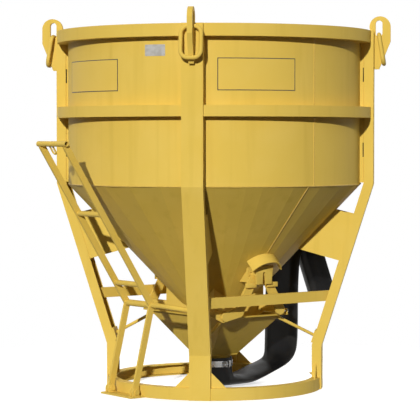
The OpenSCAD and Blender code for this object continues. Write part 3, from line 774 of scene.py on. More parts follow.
@dataclass
class HoseSleeve(SubAssembly):
    """Folded rubber hose: it leaves the spout, is kinked on the ground and is laid over the bow.

    Attributes:
        radius: Outer radius of the round hose, in millimetres.
        wall: Thickness of the rubber, in millimetres.
        flat_share: How much of the lost thickness goes into width.
        pinch: How sharp the edges of a flattened section become.
        dent: Depth of the soft dents in the rubber, in millimetres.
        dent_along: How fast two waves of dents turn from section to section.
        dent_round: How often they turn round a section.
        groove_turn: Direction in which the hollow side of the hose faces, in degrees.
        groove_from: First point of the route with a hollow side.
        groove_full: First point of the route where the hollow is whole.
        groove_share: How hollow that side becomes.
        groove_line: Points of the hollow side across and outward, as shares of the radius.
        sides: Points round a section.
        steps: Sections between two points of the route.
        route: Both edges of each section in the gate's middle plane, in millimetres.
    """

    radius: float = 89.3
    wall: float = 6.0
    flat_share: float = 0.45
    pinch: float = 0.45
    dent: float = 1.6
    dent_along: Point2 = (0.31, 0.17)
    dent_round: Point2 = (2.0, -3.0)
    groove_turn: float = 232.5
    groove_from: float = 9.5
    groove_full: float = 16.0
    groove_share: float = 0.85
    groove_line: tuple[Point2, ...] = (
        (-1.0, 0.0),
        (-0.9, 0.30),
        (0.42, 0.0),
        (0.92, 0.22),
        (1.0, 0.0),
    )
    sides: int = 48
    steps: int = 6
    route: list[tuple[Point2, Point2]] = field(
        default_factory=lambda: [
            ((-89.3, 152.0), (89.3, 152.0)),
            ((-89.3, 118.0), (89.3, 118.0)),
            ((-89.3, 94.0), (89.3, 94.0)),
            ((-80.0, 56.0), (92.0, 76.0)),
            ((-52.0, 20.0), (94.0, 66.0)),
            ((0.0, 4.0), (98.0, 60.0)),
            ((70.0, 2.0), (110.0, 58.0)),
            ((130.0, 2.0), (135.0, 56.0)),
            ((190.0, 6.0), (174.0, 60.0)),
            ((250.0, 26.0), (232.0, 70.0)),
            ((306.0, 47.0), (286.0, 86.0)),
            ((372.0, 68.0), (324.0, 98.0)),
            ((435.0, 92.0), (345.0, 107.0)),
            ((487.0, 122.0), (354.0, 119.0)),
            ((514.0, 158.0), (358.0, 142.0)),
            ((525.0, 205.0), (359.0, 190.0)),
            ((529.0, 270.0), (360.0, 270.0)),
            ((530.0, 400.0), (362.0, 400.0)),
            ((531.0, 490.0), (366.0, 488.0)),
            ((533.0, 560.0), (376.0, 560.0)),
            ((538.0, 630.0), (398.0, 640.0)),
            ((548.0, 695.0), (462.0, 722.0)),
            ((556.0, 738.0), (520.0, 790.0)),
            ((575.0, 758.0), (575.0, 815.0)),
            ((590.0, 745.0), (640.0, 785.0)),
            ((597.0, 700.0), (672.0, 728.0)),
            ((600.0, 655.0), (690.0, 685.0)),
            ((607.0, 617.0), (700.0, 652.0)),
            ((639.0, 533.0), (732.0, 570.0)),
            ((672.0, 450.0), (765.0, 487.0)),
            ((680.0, 430.0), (773.0, 466.0)),
        ]
    )

    def build(self) -> list[bpy.types.Object]:
        """Sweep the hose with a wall and set it on the bucket.

        Returns:
            The hose.
        """
        mesh = bmesh.new()
        sections = list(self._sections())
        outer = [self._ring(mesh, i, *ends, 0.0) for i, ends in enumerate(sections)]
        inner = [self._ring(mesh, i, *ends, self.wall) for i, ends in enumerate(sections)]
        for rings in (outer, inner):
            for first, second in zip(rings, rings[1:]):
                join_rings(mesh, first, second)
        join_rings(mesh, outer[0], inner[0])
        join_rings(mesh, outer[-1], inner[-1])
        piece = add_mesh("hose_sleeve", mesh, self.palette.get(BLACK_RUBBER))
        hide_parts("hose")
        return [seat(piece, Body.BUCKET, Slot.RUBBER)]

    def _sections(self) -> Iterator[tuple[Vector, Vector]]:
        """Walk along the route in fine steps.

        Yields:
            The two ends of each section, in the gate's middle plane.
        """
        ends = [(Vector(low), Vector(high)) for low, high in self.route]
        last = len(ends) - 1
        for i in range(last):
            around = [ends[max(i - 1, 0)], ends[i], ends[i + 1], ends[min(i + 2, last)]]
            for k in range(self.steps):
                t = k / self.steps
                yield tuple(self._spline([pair[side] for pair in around], t) for side in (0, 1))
        yield ends[last]

    @staticmethod
    def _spline(p: Sequence[Vector], t: float) -> Vector:
        """Return a point of a smooth curve through four points.

        Args:
            p: The four points.
            t: Place between the second and the third.

        Returns:
            The point.
        """
        a = p[1] * 2
        b = p[2] - p[0]
        c = p[0] * 2 - p[1] * 5 + p[2] * 4 - p[3]
        d = p[1] * 3 - p[0] - p[2] * 3 + p[3]
        return (a + b * t + c * t * t + d * t * t * t) * 0.5

    def _ring(
        self, mesh: bmesh.types.BMesh, index: int, low: Vector, high: Vector, inset: float
    ) -> list[bmesh.types.BMVert]:
        """Add one section, whose edges are the sharper the flatter it is.

        Args:
            mesh: Mesh to add to.
            index: Number of the section along the hose.
            low: One end of the section.
            high: The other end.
            inset: Distance inside the outer face.

        Returns:
            Its vertices.
        """
        half = (high - low).length / 2
        flatness = max(0.0, 1.0 - half / self.radius)
        wide = self.radius + (self.radius - half) * self.flat_share
        power = 1.0 + self.pinch * flatness
        middle, along = (low + high) / 2, (high - low).normalized()
        facing = math.radians(self.groove_turn)
        front = math.atan2(math.sin(facing), math.cos(facing) * along.x)
        step = (index / self.steps - self.groove_from) / (self.groove_full - self.groove_from)
        step = min(max(step, 0.0), 1.0)
        hollow = self.groove_share * step * step * (3.0 - 2.0 * step)
        verts = []
        for k in range(self.sides):
            a = 2 * math.pi * k / self.sides
            waves = (math.sin(b * index + c * a) for b, c in zip(self.dent_along, self.dent_round))
            sink = self.dent * flatness * (1.0 + math.prod(waves))
            across, out = math.sin(front - a), math.cos(front - a)
            if out > 0.0:
                out += hollow * (self._groove(across) - out)
            u = out * math.cos(front) + across * math.sin(front)
            v = out * math.sin(front) - across * math.cos(front)
            reach = math.copysign(abs(u) ** power, u)
            at = middle + along * (half - inset - sink) * reach
            verts.append(mesh.verts.new(gate_to_row(at.x, (wide - inset) * v, at.y)))
        return verts

    def _groove(self, across: float) -> float:
        """Work out how far the hollow side stands out at a place across it.

        Args:
            across: Place across the side, from -1 to 1.

        Returns:
            Distance from the middle, as a share of the radius.
        """
        for (x0, y0), (x1, y1) in zip(self.groove_line, self.groove_line[1:]):
            if across <= x1:
                return y0 + (y1 - y0) * (across - x0) / (x1 - x0)
        return self.groove_line[-1][1]


@dataclass
class BlankPanels(SubAssembly):
    """Blank panels with a dark border, bent to the drum, on both sides of the front leg.

    Attributes:
        low: Lower edge, in millimetres.
        high: Upper edge, in millimetres.
        thick: How far a panel stands out, in millimetres.
        border: Width of the border, in millimetres.
        columns: Strips along a panel.
        spans: First and last angle of each panel.
    """

    low: float = 1498.0
    high: float = 1652.0
    thick: float = 1.0
    border: float = 4.0
    columns: int = 40
    spans: dict[str, Point2] = field(
        default_factory=lambda: {"panel_left": (205.0, 239.0), "panel_right": (278.5, 308.5)}
    )

    def build(self) -> list[bpy.types.Object]:
        """Return the new panels, set on the bucket."""
        return [seat(self._panel(name, *span), Body.BUCKET, Slot.PAINT) for name, span in self.spans.items()]

    def _panel(self, name: str, start: float, end: float) -> bpy.types.Object:
        """Make one panel.

        Args:
            name: Its name.
            start: First angle in degrees.
            end: Last angle in degrees.

        Returns:
            The panel.
        """
        drum_r, outer = self.vessel.drum_r, self.vessel.drum_r + self.thick
        edge = math.degrees(self.border / drum_r)
        inner = [start + edge + (end - start - 2 * edge) * i / self.columns for i in range(self.columns + 1)]
        angles = [start, *inner, end]
        heights = [self.low, self.low + self.border, self.high - self.border, self.high]
        mesh = bmesh.new()
        front = [[mesh.verts.new(polar(outer, a, z)) for z in heights] for a in angles]
        for i, (first, second) in enumerate(zip(front, front[1:])):
            for k in range(len(heights) - 1):
                face = mesh.faces.new((first[k], second[k], second[k + 1], first[k + 1]))
                on_border = i in (0, self.columns + 1) or k != 1
                face.material_index = 1 if on_border else 0
        for face in fold_back(mesh, front, drum_r / outer):
            face.material_index = 1
        piece = add_mesh(name, mesh, self.palette.get(PANEL_FILM))
        piece.data.materials.append(self.palette.get(DARK_BORDER))
        return piece


@dataclass
class BarePlate(SubAssembly):
    """Bare metal plate with rivets on the drum, left of the front leg.

    Attributes:
        start: First angle in degrees.
        end: Last angle in degrees.
        low: Lower edge, in millimetres.
        high: Upper edge, in millimetres.
        thick: Thickness, in millimetres.
        columns: Strips along the plate.
        rivet_r: Radius of a rivet's head, in millimetres.
        rivet_in: Distance of a rivet from the edges, in millimetres.
        rivet_sides: Faces round a rivet's head.
        rivet_rows: Rows of faces on it.
    """

    start: float = 251.2
    end: float = 259.2
    low: float = 1662.0
    high: float = 1716.0
    thick: float = 1.0
    columns: int = 10
    rivet_r: float = 3.0
    rivet_in: float = 6.0
    rivet_sides: int = 12
    rivet_rows: int = 8

    def build(self) -> list[bpy.types.Object]:
        """Make the plate with its rivets and set it on the bucket.

        Returns:
            The plate.
        """
        mesh = bmesh.new()
        drum_r, outer = self.vessel.drum_r, self.vessel.drum_r + self.thick
        angles = [self.start + (self.end - self.start) * i / self.columns for i in range(self.columns + 1)]
        rows = [[mesh.verts.new(polar(outer, a, z)) for z in (self.low, self.high)] for a in angles]
        for first, second in zip(rows, rows[1:]):
            mesh.faces.new((first[0], second[0], second[1], first[1]))
        fold_back(mesh, rows, drum_r / outer)
        inset = math.degrees(self.rivet_in / drum_r)
        for angle in (self.start + inset, self.end - inset):
            for z in (self.low + self.rivet_in, self.high - self.rivet_in):
                bmesh.ops.create_uvsphere(
                    mesh,
                    u_segments=self.rivet_sides,
                    v_segments=self.rivet_rows,
                    radius=self.rivet_r * MM,
                    matrix=Matrix.Translation(polar(outer, angle, z)),
                )
        return [seat(add_mesh("bare_plate", mesh, self.palette.get(GREY_PLATE)), Body.BUCKET, Slot.ZINC)]


@dataclass
class WeldBeads(SubAssembly):
    """Painted weld beads of the vessel and the legs, and dark strips of painted shade in the open joints
    between short beads.

    Attributes:
        seam_angle: Angle of the cone's seam, in degrees.
        seam_foot: Lower end of the cone's seam over the cone's point, in millimetres.
        drum_seam_angle: Angle of the drum's seam, in degrees.
        rim_low_z: Lower edge of the rim band, in millimetres.
        mid_low_z: Lower edge of the middle band, in millimetres.
        mid_high_z: Upper edge of the middle band, in millimetres.
        leg_w: Width of a leg, in millimetres.
        packer_inset: How far a packer lies inside the leg's side, in millimetres.
        leg_in_r: Radius of the leg's inner edges, in millimetres.
        bead: Half the width of a bead, in millimetres.
        uneven: Least and greatest width along a bead, as shares.
        bulge: Height of a bead as a share of half its width.
        sides: Points round a bead.
        turns: Sections of a bead round the vessel.
        step: Distance between the sections of an upright bead, in millimetres.
        start_in: How far a bead starts over an edge, in millimetres.
        end_in: How far a bead ends under an edge, in millimetres.
        rim_in: How far the inner bead ends under the rim, in millimetres.
        stitch: Length of a short bead at the legs, in millimetres.
        stitch_step: Distance between the sections of a short bead, in millimetres.
        stitch_starts: First short bead over the cone's joint and over the middle band, in millimetres.
        pitch: Distance from one short bead to the next, in millimetres.
        gap: Length of the open joint between short beads, in millimetres.
        gap_w: Width of the open joint, in millimetres.
        gap_out: How far its shade stands out of the packer, in millimetres.
        seed: Start of the small changes in width along a bead.
    """

    seam_angle: float = 315.0
    seam_foot: float = 430.0
    drum_seam_angle: float = 317.5
    rim_low_z: float = 1752.0
    mid_low_z: float = 1375.0
    mid_high_z: float = 1429.0
    leg_w: float = 104.0
    packer_inset: float = 4.0
    leg_in_r: float = 764.0
    bead: float = 3.5
    uneven: Point2 = (0.85, 1.15)
    bulge: float = 0.7
    sides: int = 8
    turns: int = 180
    step: float = 20.0
    start_in: float = 3.0
    end_in: float = 2.0
    rim_in: float = 4.0
    stitch: float = 110.0
    stitch_step: float = 11.0
    stitch_starts: Point2 = (20.0, 10.0)
    pitch: float = 195.0
    gap: float = 72.0
    gap_w: float = 6.0
    gap_out: float = 0.6
    seed: int = 7

    def build(self) -> list[bpy.types.Object]:
        """Make beads and the painted shade of the open joints, and set them on the bucket.

        Returns:
            The beads and the painted shade of the joints.
        """
        beads, joints = bmesh.new(), bmesh.new()
        chance = random.Random(self.seed)
        for line in self._lines():
            self._sweep(beads, line, chance)
        # Dark strips in the open joints at the packers are painted shade.
        for leg in self._leg_sides():
            self._gaps(joints, *leg)
        return [
            seat(add_mesh("weld_beads", beads, self.palette.get(WELD_PAINT)), Body.BUCKET, Slot.PAINT),
            seat(add_mesh("painted_gap_shades", joints, self.palette.get(PAINTED_GAP_SHADE)), Body.BUCKET, Slot.PAINT),
        ]

    def _cone_r(self, z: float) -> float:
        """Return the cone's outer radius at a height, both in millimetres."""
        v = self.vessel
        return v.drum_r * (z - v.cone_tip_z) / (v.cone_top_z - v.cone_tip_z)

    def _leg_sides(self) -> Iterator[Point2]:
        """List both sides of each leg's packer.

        Yields:
            Angle of the leg in degrees and distance from its middle in millimetres.
        """
        for k in range(4):
            for side in (-1.0, 1.0):
                yield 90.0 * k, side * (self.leg_w / 2 - self.packer_inset)

    def _lines(self) -> Iterator[list[Vector]]:
        """List the middle lines of the beads.

        Yields:
            Points of one bead, in metres.
        """
        top, drum_r = self.vessel.cone_top_z, self.vessel.drum_r
        inner_r = drum_r - self.vessel.sheet_t
        for r in (drum_r, inner_r):
            yield [polar(r, 360.0 * i / self.turns, top) for i in range(self.turns + 1)]
        seam = self._walk(self.vessel.cone_tip_z + self.seam_foot, top - self.end_in, self.step)
        for inset in (0.0, self.vessel.cone_wall):
            yield [polar(self._cone_r(z) - inset, self.seam_angle, z) for z in seam]
        for r, low, high in (
            (inner_r, top, self.vessel.rim_z - self.rim_in),
            (drum_r, top, self.mid_low_z - self.end_in),
            (drum_r, self.mid_high_z, self.rim_low_z - self.end_in),
        ):
            walk = self._walk(low + self.start_in, high, self.step)
            yield [polar(r, self.drum_seam_angle, z) for z in walk]
        for leg in self._leg_sides():
            yield from self._stitches(*leg)

    def _stitches(self, degrees: float, across: float) -> Iterator[list[Vector]]:
        """List the short beads between a leg and its packer.

        Args:
            degrees: Angle of the leg.
            across: Distance from the leg's middle, in millimetres.

        Yields:
            Points of one short bead, in metres.
        """
        turn = Matrix.Rotation(math.radians(degrees), 3, "Z")
        for z in self._stitch_feet():
            walk = self._walk(z, z + self.stitch, self.stitch_step)
            yield [turn @ (Vector((self.leg_in_r, across, h)) * MM) for h in walk]

    def _stitch_feet(self) -> Iterator[float]:
        """List the lower ends of the short beads at a leg.

        Yields:
            Heights in millimetres.
        """
        spans = ((self.vessel.cone_top_z, self.mid_low_z), (self.mid_high_z, self.rim_low_z))
        for start, (low, high) in zip(self.stitch_starts, spans):
            z = low + start
            while z + self.stitch < high:
                yield z
                z += self.pitch

    def _gaps(self, mesh: bmesh.types.BMesh, degrees: float, across: float) -> None:
        """Add a dark strip of painted shade in the open joint over each short bead.

        Args:
            mesh: Mesh to add to.
            degrees: Angle of the leg.
            across: Distance of the packer's side from the leg's middle, in millimetres.
        """
        turn = Matrix.Rotation(math.radians(degrees), 4, "Z")
        size = Matrix.Diagonal((self.gap_w * MM, 2 * self.gap_out * MM, self.gap * MM, 1.0))
        rise = self.stitch + (self.pitch - self.stitch) / 2
        for z in self._stitch_feet():
            foot, head = z + rise - self.gap / 2, z + rise + self.gap / 2
            if any(low < head and foot < high for low, high in self._bands()):
                continue
            place = Matrix.Translation(Vector((self.leg_in_r - self.gap_w / 2, across, z + rise)) * MM)
            bmesh.ops.create_cube(mesh, size=1.0, matrix=turn @ place @ size)

    def _bands(self) -> tuple[Point2, Point2]:
        """Return the lower and upper edges of the two bands, in millimetres."""
        return (self.mid_low_z, self.mid_high_z), (self.rim_low_z, self.vessel.rim_z)

    @staticmethod
    def _walk(low: float, high: float, step: float) -> list[float]:
        """Return evenly spaced values from low to high, about a step apart."""
        n = max(int(round((high - low) / step)), 1)
        return [low + (high - low) * i / n for i in range(n + 1)]

    def _sweep(self, mesh: bmesh.types.BMesh, line: list[Vector], chance: random.Random) -> None:
        """Add one bead along a line.

        Args:
            mesh: Mesh to add to.
            line: Points of its middle, in metres.
            chance: Source of the small changes in width.
        """
        angles = [2 * math.pi * k / self.sides for k in range(self.sides)]
        rings = []
        for i, point in enumerate(line):
            ahead = (line[min(i + 1, len(line) - 1)] - line[max(i - 1, 0)]).normalized()
            out = Vector((point.x, point.y, 0.0)).normalized()
            out = (out - ahead * out.dot(ahead)).normalized()
            across = ahead.cross(out)
            width = self.bead * chance.uniform(*self.uneven) * MM
            ring = []
            for a in angles:
                spot = point + across * math.cos(a) * width + out * math.sin(a) * width * self.bulge
                ring.append(mesh.verts.new(spot))
            rings.append(ring)
        join_tube(mesh, rings)


@dataclass
class CornerClips(SubAssembly):
    """Pair of ears with a bolt at each corner of the chute's lip.

    Attributes:
        ears: Places of a pair of ears across the jaws, in millimetres.
        lip_y: Middle of an ear along the jaws, in millimetres.
        lip_z: Height of the lip's upper face, in millimetres.
        ear_t: Thickness of an ear, in millimetres.
        ear_w: Width of an ear at its foot, in millimetres.
        ear_top_w: Width of an ear at its top, in millimetres.
        ear_h: Height of an ear, in millimetres.
        shoulder: Height of an ear's straight sides, as a share of its height.
        bolt_h: Height of the bolt over the lip, in millimetres.
        shank_r: Radius of the bolt, in millimetres.
        head_r: Radius of the bolt's head and nut to their corners, in millimetres.
        head_t: Thickness of the head and the nut, in millimetres.
        shank_sides: Faces round the bolt.
        head_sides: Faces round the head and the nut.
    """

    ears: Point2 = (176.0, 204.0)
    lip_y: float = 327.0
    lip_z: float = 388.0
    ear_t: float = 6.0
    ear_w: float = 20.0
    ear_top_w: float = 9.0
    ear_h: float = 25.0
    shoulder: float = 0.45
    bolt_h: float = 13.0
    shank_r: float = 5.0
    head_r: float = 8.5
    head_t: float = 7.0
    shank_sides: int = 16
    head_sides: int = 6

    def build(self) -> list[bpy.types.Object]:
        """Make ears and bolts and set them on the bucket.

        Returns:
            The ears and the bolts.
        """
        plates, bolts = bmesh.new(), bmesh.new()
        for side in (-1.0, 1.0):
            for end in (-1.0, 1.0):
                for x in self.ears:
                    self._ear(plates, side * x, end * self.lip_y)
                self._bolt(bolts, side, end * self.lip_y)
        return [
            seat(add_mesh("clip_ears", plates, self.palette.get(MUSTARD_PAINT)), Body.BUCKET, Slot.PAINT),
            seat(add_mesh("clip_bolts", bolts, self.palette.get(BRIGHT_ZINC)), Body.BUCKET, Slot.ZINC),
        ]

    def _ear(self, mesh: bmesh.types.BMesh, x: float, y: float) -> None:
        """Add one ear with clipped corners, standing on the lip.

        Args:
            mesh: Mesh to add to.
            x: Place across the jaws, in millimetres.
            y: Place along the jaws, in millimetres.
        """
        foot, top, low, high = self.ear_w / 2, self.ear_top_w / 2, self.lip_z, self.lip_z + self.ear_h
        middle = low + self.ear_h * self.shoulder
        line = [(-foot, low), (foot, low), (foot, middle), (top, high), (-top, high), (-foot, middle)]
        rings = [
            [mesh.verts.new(gate_to_row(x + s * self.ear_t / 2, y + across, z)) for across, z in line]
            for s in (-1.0, 1.0)
        ]
        join_tube(mesh, rings)

    def _bolt(self, mesh: bmesh.types.BMesh, side: float, y: float) -> None:
        """Add one bolt through a pair of ears, with its head and nut.

        Args:
            mesh: Mesh to add to.
            side: Side of the jaws, 1 or -1.
            y: Place along the jaws, in millimetres.
        """
        low, high = self.ears[0] - self.ear_t / 2, self.ears[1] + self.ear_t / 2
        height = self.lip_z + self.bolt_h
        for start, end, r, count in (
            (low - self.head_t, low, self.head_r, self.head_sides),
            (low, high, self.shank_r, self.shank_sides),
            (high, high + self.head_t, self.head_r, self.head_sides),
        ):
            angles = [2 * math.pi * k / count for k in range(count)]
            circle = [(y + r * math.cos(a), height + r * math.sin(a)) for a in angles]
            rings = [[mesh.verts.new(gate_to_row(side * x, *at)) for at in circle] for x in (start, end)]
            join_tube(mesh, rings)


@dataclass
class ArmFittings(SubAssembly):
    """Forked plates over the ends of the jaws' pivots, and a bar across each arm of the jaws.

    Attributes:
        pivot_z: Height of the pivots, in millimetres.
        nut_y: Distance of the nuts' outer faces from the middle along the jaws, in millimetres.
        arm_y: Distance of the arms' outer faces from there, in millimetres.
        plate_t: Thickness of a forked plate, in millimetres.
        plate_w: Half the width of its bridge, in millimetres.
        plate_high: Top of the bridge over the pivots, in millimetres.
        bridge_low: Lower edge of the bridge over the pivots, in millimetres.
        prong_in: Inner edge of a prong from the middle, in millimetres.
        prong_out: Outer edge of a prong from the middle, in millimetres.
        prong_low: Lower end of a prong under the pivots, in millimetres.
        bar_x: Middle of a bar from the middle, in millimetres.
        bar_low: Middle of a bar under the pivots, in millimetres.
        bar: Length, thickness and height of a bar, in millimetres.
        round_off: Width of the rounded edges, in millimetres.
        round_steps: Faces across a rounded edge.
    """

    pivot_z: float = 595.0
    nut_y: float = 395.6
    arm_y: float = 375.3
    plate_t: float = 10.0
    plate_w: float = 56.0
    plate_high: float = 46.0
    bridge_low: float = 16.0
    prong_in: float = 9.0
    prong_out: float = 49.0
    prong_low: float = 46.0
    bar_x: float = 67.0
    bar_low: float = 50.0
    bar: tuple[float, float, float] = (64.0, 15.0, 24.0)
    round_off: float = 2.0
    round_steps: int = 2

    def build(self) -> list[bpy.types.Object]:
        """Make plates and bars and set them on the bucket and the jaws.

        Returns:
            The plates and the bars.
        """
        plates, lever_bars, hose_bars = bmesh.new(), bmesh.new(), bmesh.new()
        for side in (-1.0, 1.0):
            depths = [side * (self.nut_y + depth) for depth in (0.0, self.plate_t)]
            join_tube(plates, [self._plate_ring(plates, y) for y in depths])
            for bars, hand in ((lever_bars, -1.0), (hose_bars, 1.0)):
                depths = [side * (self.arm_y + depth) for depth in (0.0, self.bar[1])]
                join_tube(bars, [self._bar_ring(bars, hand, y) for y in depths])
        return [
            seat(self._rounded("pivot_keepers", plates), Body.BUCKET, Slot.PAINT),
            seat(self._rounded("lever_jaw_bars", lever_bars), Body.LEVER_JAW, Slot.PAINT),
            seat(self._rounded("hose_jaw_bars", hose_bars), Body.HOSE_JAW, Slot.PAINT),
        ]

    def _plate_ring(self, mesh: bmesh.types.BMesh, y: float) -> list[bmesh.types.BMVert]:
        """Add the outline of a forked plate.

        Args:
            mesh: Mesh to add to.
            y: Its place along the jaws, in millimetres.

        Returns:
            Its vertices.
        """
        half = [
            (self.plate_w, self.plate_high),
            (self.plate_w, self.bridge_low),
            (self.prong_out, self.bridge_low - (self.plate_w - self.prong_out)),
            (self.prong_out, -self.prong_low),
            (self.prong_in, -self.prong_low),
            (self.prong_in, self.bridge_low),
        ]
        line = half + [(-x, z) for x, z in reversed(half)]
        return [mesh.verts.new(gate_to_row(x, y, self.pivot_z + z)) for x, z in line]

    def _bar_ring(self, mesh: bmesh.types.BMesh, hand: float, y: float) -> list[bmesh.types.BMVert]:
        """Add the outline of a bar.

        Args:
            mesh: Mesh to add to.
            hand: Side of the jaws, 1 or -1.
            y: Its place along the jaws, in millimetres.

        Returns:
            Its vertices.
        """
        middle_x, middle_z = hand * self.bar_x, self.pivot_z - self.bar_low
        dx, dz = self.bar[0] / 2, self.bar[2] / 2
        line = [(-dx, -dz), (dx, -dz), (dx, dz), (-dx, dz)]
        return [mesh.verts.new(gate_to_row(middle_x + x, y, middle_z + z)) for x, z in line]

    def _rounded(self, name: str, mesh: bmesh.types.BMesh) -> bpy.types.Object:
        """Round off all edges of a mesh and paint it.

        Args:
            name: Name of the piece.
            mesh: Its mesh, which is freed.

        Returns:
            The piece.
        """
        bmesh.ops.bevel(
            mesh,
            geom=mesh.edges[:],
            offset=self.round_off * MM,
            segments=self.round_steps,
            profile=0.5,
            affect="EDGES",
        )
        return add_mesh(name, mesh, self.palette.get(MUSTARD_PAINT))


@dataclass
class Studio:
    """Camera, lamps, floor and background.

    Attributes:
        turn: Angle of the camera round the bucket, in degrees.
        distance: Distance of the camera from the axis, in metres.
        height: Height of the camera, in metres.
        lens: Focal length, in millimetres.
        sensor: Width of the sensor, in millimetres.
        sight: How far the camera sees, in metres.
        horizon: Image row of the horizon.
        axis_column: Image column of the drum's axis.
        image: Side of the image in pixels.
        key_turn: Angle of the key lamp, counted as the camera's, in degrees.
        key_rise: Height of the key lamp over the horizon, in degrees.
        key_soft: Width of the key lamp, in degrees.
        key_level: Light of the key lamp, where 1 renders a colour as it is written.
        back_turns: Angles of the lamps behind the bucket, from the camera's, in degrees.
        back_levels: Light of each of these lamps.
        back_rise: Height of these lamps over the horizon, in degrees.
        back_soft: Width of these lamps, in degrees.
        lamp_distance: Distance of all lamps, in metres.
        ambient_high: Light of the background from above.
        ambient_low: Light of the background from below.
        ambient_span: Rise of a ray at which that light begins and at which it is full.
        floor_r: Radius of the floor, in metres.
        floor_sides: Corners of the floor.
        floor_drop: How far the floor lies under the bucket, in metres.
        floor_rough: Roughness of the floor.
        floor_fade: Where the floor starts and ends to fade, as shares of its radius.
        floor_dim: Colour of the floor for light that it throws back.
        floor_pale: Colour of the floor as it is seen.
        floor_glow: Brightness that the floor has where it is seen.
    """

    turn: float = 7.5
    distance: float = 9.563
    height: float = 1.2665
    lens: float = 160.2
    sensor: float = 36.0
    sight: float = 100.0
    horizon: float = 139.44
    axis_column: float = 214.56
    image: float = 420.0
    key_turn: float = -4.0
    key_rise: float = 18.0
    key_soft: float = 1.2
    key_level: float = 1.07
    back_turns: tuple[float, float, float] = (180.0, 128.0, -128.0)
    back_levels: tuple[float, float, float] = (0.62, 0.30, 0.24)
    back_rise: float = 26.0
    back_soft: float = 25.0
    lamp_distance: float = 8.0
    ambient_high: float = 0.17
    ambient_low: float = 0.01
    ambient_span: Point2 = (-0.3, 0.6)
    floor_r: float = 2.4
    floor_sides: int = 96
    floor_drop: float = 0.001
    floor_rough: float = 0.9
    floor_fade: Point2 = (0.3, 0.95)
    floor_dim: Colour = (0.03, 0.03, 0.03, 1.0)
    floor_pale: Colour = (0.80, 0.80, 0.80, 1.0)
    floor_glow: float = 0.58

    def camera(self) -> None:
        """Make the scene's camera at the photograph's angle."""
        data = bpy.data.cameras.new("photo_camera")
        data.lens = self.lens
        data.sensor_width = self.sensor
        data.clip_end = self.sight
        camera = bpy.data.objects.new("photo_camera", data)
        a = math.radians(self.turn)
        camera.location = (math.sin(a) * self.distance, -math.cos(a) * self.distance, self.height)
        focal = self.lens / self.sensor * self.image
        pitch = math.atan((self.image / 2 - self.horizon) / focal)
        yaw = math.atan((self.axis_column - self.image / 2) / focal)
        camera.rotation_euler = (math.pi / 2 - pitch, 0.0, a + yaw)
        bpy.context.scene.collection.objects.link(camera)
        bpy.context.scene.camera = camera

    def lamps(self) -> None:
        """Make the low key lamp, which stands left of the camera, and soft lamps behind the bucket."""
        lamps = [("key", self.key_turn, self.key_rise, self.key_soft, self.key_level)]
        for number, (turn, level) in enumerate(zip(self.back_turns, self.back_levels), 1):
            lamps.append((f"back_{number}", self.turn + turn, self.back_rise, self.back_soft, level))
        for lamp in lamps:
            self._sun(*lamp)

    def _sun(self, name: str, turn: float, rise: float, soft: float, level: float) -> None:
        """Make a distant lamp.

        Args:
            name: Its name.
            turn: Its angle round the bucket, counted as the camera's, in degrees.
            rise: Its height over the horizon, in degrees.
            soft: Its width in the sky, in degrees.
            level: Light on a wall that faces it, where 1 renders a colour as it is written.
        """
        data = bpy.data.lights.new(name, "SUN")
        data.angle = math.radians(soft)
        data.energy = level * math.pi
        lamp = bpy.data.objects.new(name, data)
        a, e = math.radians(turn), math.radians(rise)
        place = Vector((math.sin(a) * math.cos(e), -math.cos(a) * math.cos(e), math.sin(e)))
        lamp.location = place * self.lamp_distance
        lamp.visible_glossy = False
        lamp.rotation_euler = (-place).to_track_quat("-Z", "Y").to_euler()
        bpy.context.scene.collection.objects.link(lamp)

    def background(self) -> None:
        """Make the white background, which lights the bucket softly from above."""
        world = bpy.data.worlds.new("studio_world")
        world.use_nodes = True
        tree = world.node_tree
        back = tree.nodes["Background"]
        back.inputs["Color"].default_value = WHITE
        place = add_node(tree, "TexCoord")
        split = add_node(tree, "SeparateXYZ")
        low, high = self.ambient_span
        span = {"From Min": low, "From Max": high, "To Min": self.ambient_low, "To Max": self.ambient_high}
        rise = add_node(tree, "MapRange", span)
        pick = add_node(tree, "Mix", {"B": 1.0}, data_type="FLOAT")
        wire(
            tree,
            (place.outputs["Generated"], split.inputs["Vector"]),
            (split.outputs["Z"], rise.inputs["Value"]),
            (self._seen(tree), pick.inputs["Factor"]),
            (rise.outputs["Result"], pick.inputs["A"]),
            (pick.outputs["Result"], back.inputs["Strength"]),
        )
        bpy.context.scene.world = world

    @staticmethod
    def _seen(tree: bpy.types.NodeTree) -> bpy.types.NodeSocket:
        """Add the test whether a ray shows the background itself.

        Args:
            tree: Tree of the world or of a stage material.

        Returns:
            Socket that is 1 for camera, glossy and transmission rays.
        """
        path = add_node(tree, "LightPath")
        seen = add_node(tree, "Math", operation="MAXIMUM")
        through = add_node(tree, "Math", operation="MAXIMUM")
        wire(
            tree,
            (path.outputs["Is Camera Ray"], seen.inputs[0]),
            (path.outputs["Is Glossy Ray"], seen.inputs[1]),
            (seen.outputs["Value"], through.inputs[0]),
            (path.outputs["Is Transmission Ray"], through.inputs[1]),
        )
        return through.outputs["Value"]

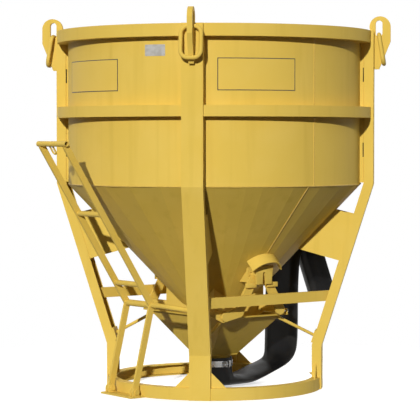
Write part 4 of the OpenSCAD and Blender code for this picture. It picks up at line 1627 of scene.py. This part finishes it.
    def floor(self) -> None:
        """Make the pale floor, which fades into the background and keeps the bucket's shadow."""
        mesh = bmesh.new()
        bmesh.ops.create_circle(mesh, cap_ends=True, segments=self.floor_sides, radius=self.floor_r)
        material = bpy.data.materials.new("pale_floor")
        material.use_nodes = True
        tree = material.node_tree
        shader = tree.nodes["Principled BSDF"]
        shader.inputs["Roughness"].default_value = self.floor_rough
        shader.inputs["Emission Color"].default_value = WHITE
        seen = self._seen(tree)
        tint = mix_colours(tree, self.floor_dim, self.floor_pale, seen)
        glow = add_node(tree, "Math", {1: self.floor_glow}, operation="MULTIPLY")
        clear = add_node(tree, "BsdfTransparent")
        blend = add_node(tree, "MixShader")
        place = add_node(tree, "TexCoord")
        length = add_node(tree, "VectorMath", operation="LENGTH")
        near, far = (self.floor_r * share for share in self.floor_fade)
        span = {"From Min": near, "From Max": far}
        fade = add_node(tree, "MapRange", span, interpolation_type="SMOOTHSTEP")
        wire(
            tree,
            (tint, shader.inputs["Base Color"]),
            (seen, glow.inputs[0]),
            (glow.outputs["Value"], shader.inputs["Emission Strength"]),
            (place.outputs["Object"], length.inputs[0]),
            (length.outputs["Value"], fade.inputs["Value"]),
            (fade.outputs["Result"], blend.inputs["Fac"]),
            (shader.outputs["BSDF"], blend.inputs[1]),
            (clear.outputs["BSDF"], blend.inputs[2]),
            (blend.outputs["Shader"], tree.nodes["Material Output"].inputs["Surface"]),
        )
        floor = add_mesh("studio_floor", mesh, material)
        floor.location.z = -self.floor_drop


def main() -> None:
    """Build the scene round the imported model."""
    logging.basicConfig(level=logging.INFO, format="%(name)s: %(message)s")
    for scene_object in list(bpy.data.objects):
        bpy.data.objects.remove(scene_object)
    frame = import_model()
    bpy.context.scene.view_settings.view_transform = "Standard"
    studio = Studio()
    studio.camera()
    palette = Palette()
    CadDress(palette).dress(frame["nodes"])
    sub_assemblies = (ConeShell, HoseSleeve, BlankPanels, BarePlate, WeldBeads, CornerClips, ArmFittings)
    for sub_assembly in sub_assemblies:
        for piece in sub_assembly(palette).build():
            LOG.info("piece %s, %d faces", piece.name, len(piece.data.polygons))
    studio.lamps()
    studio.background()
    studio.floor()
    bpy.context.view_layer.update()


if __name__ == "__main__":
    main()
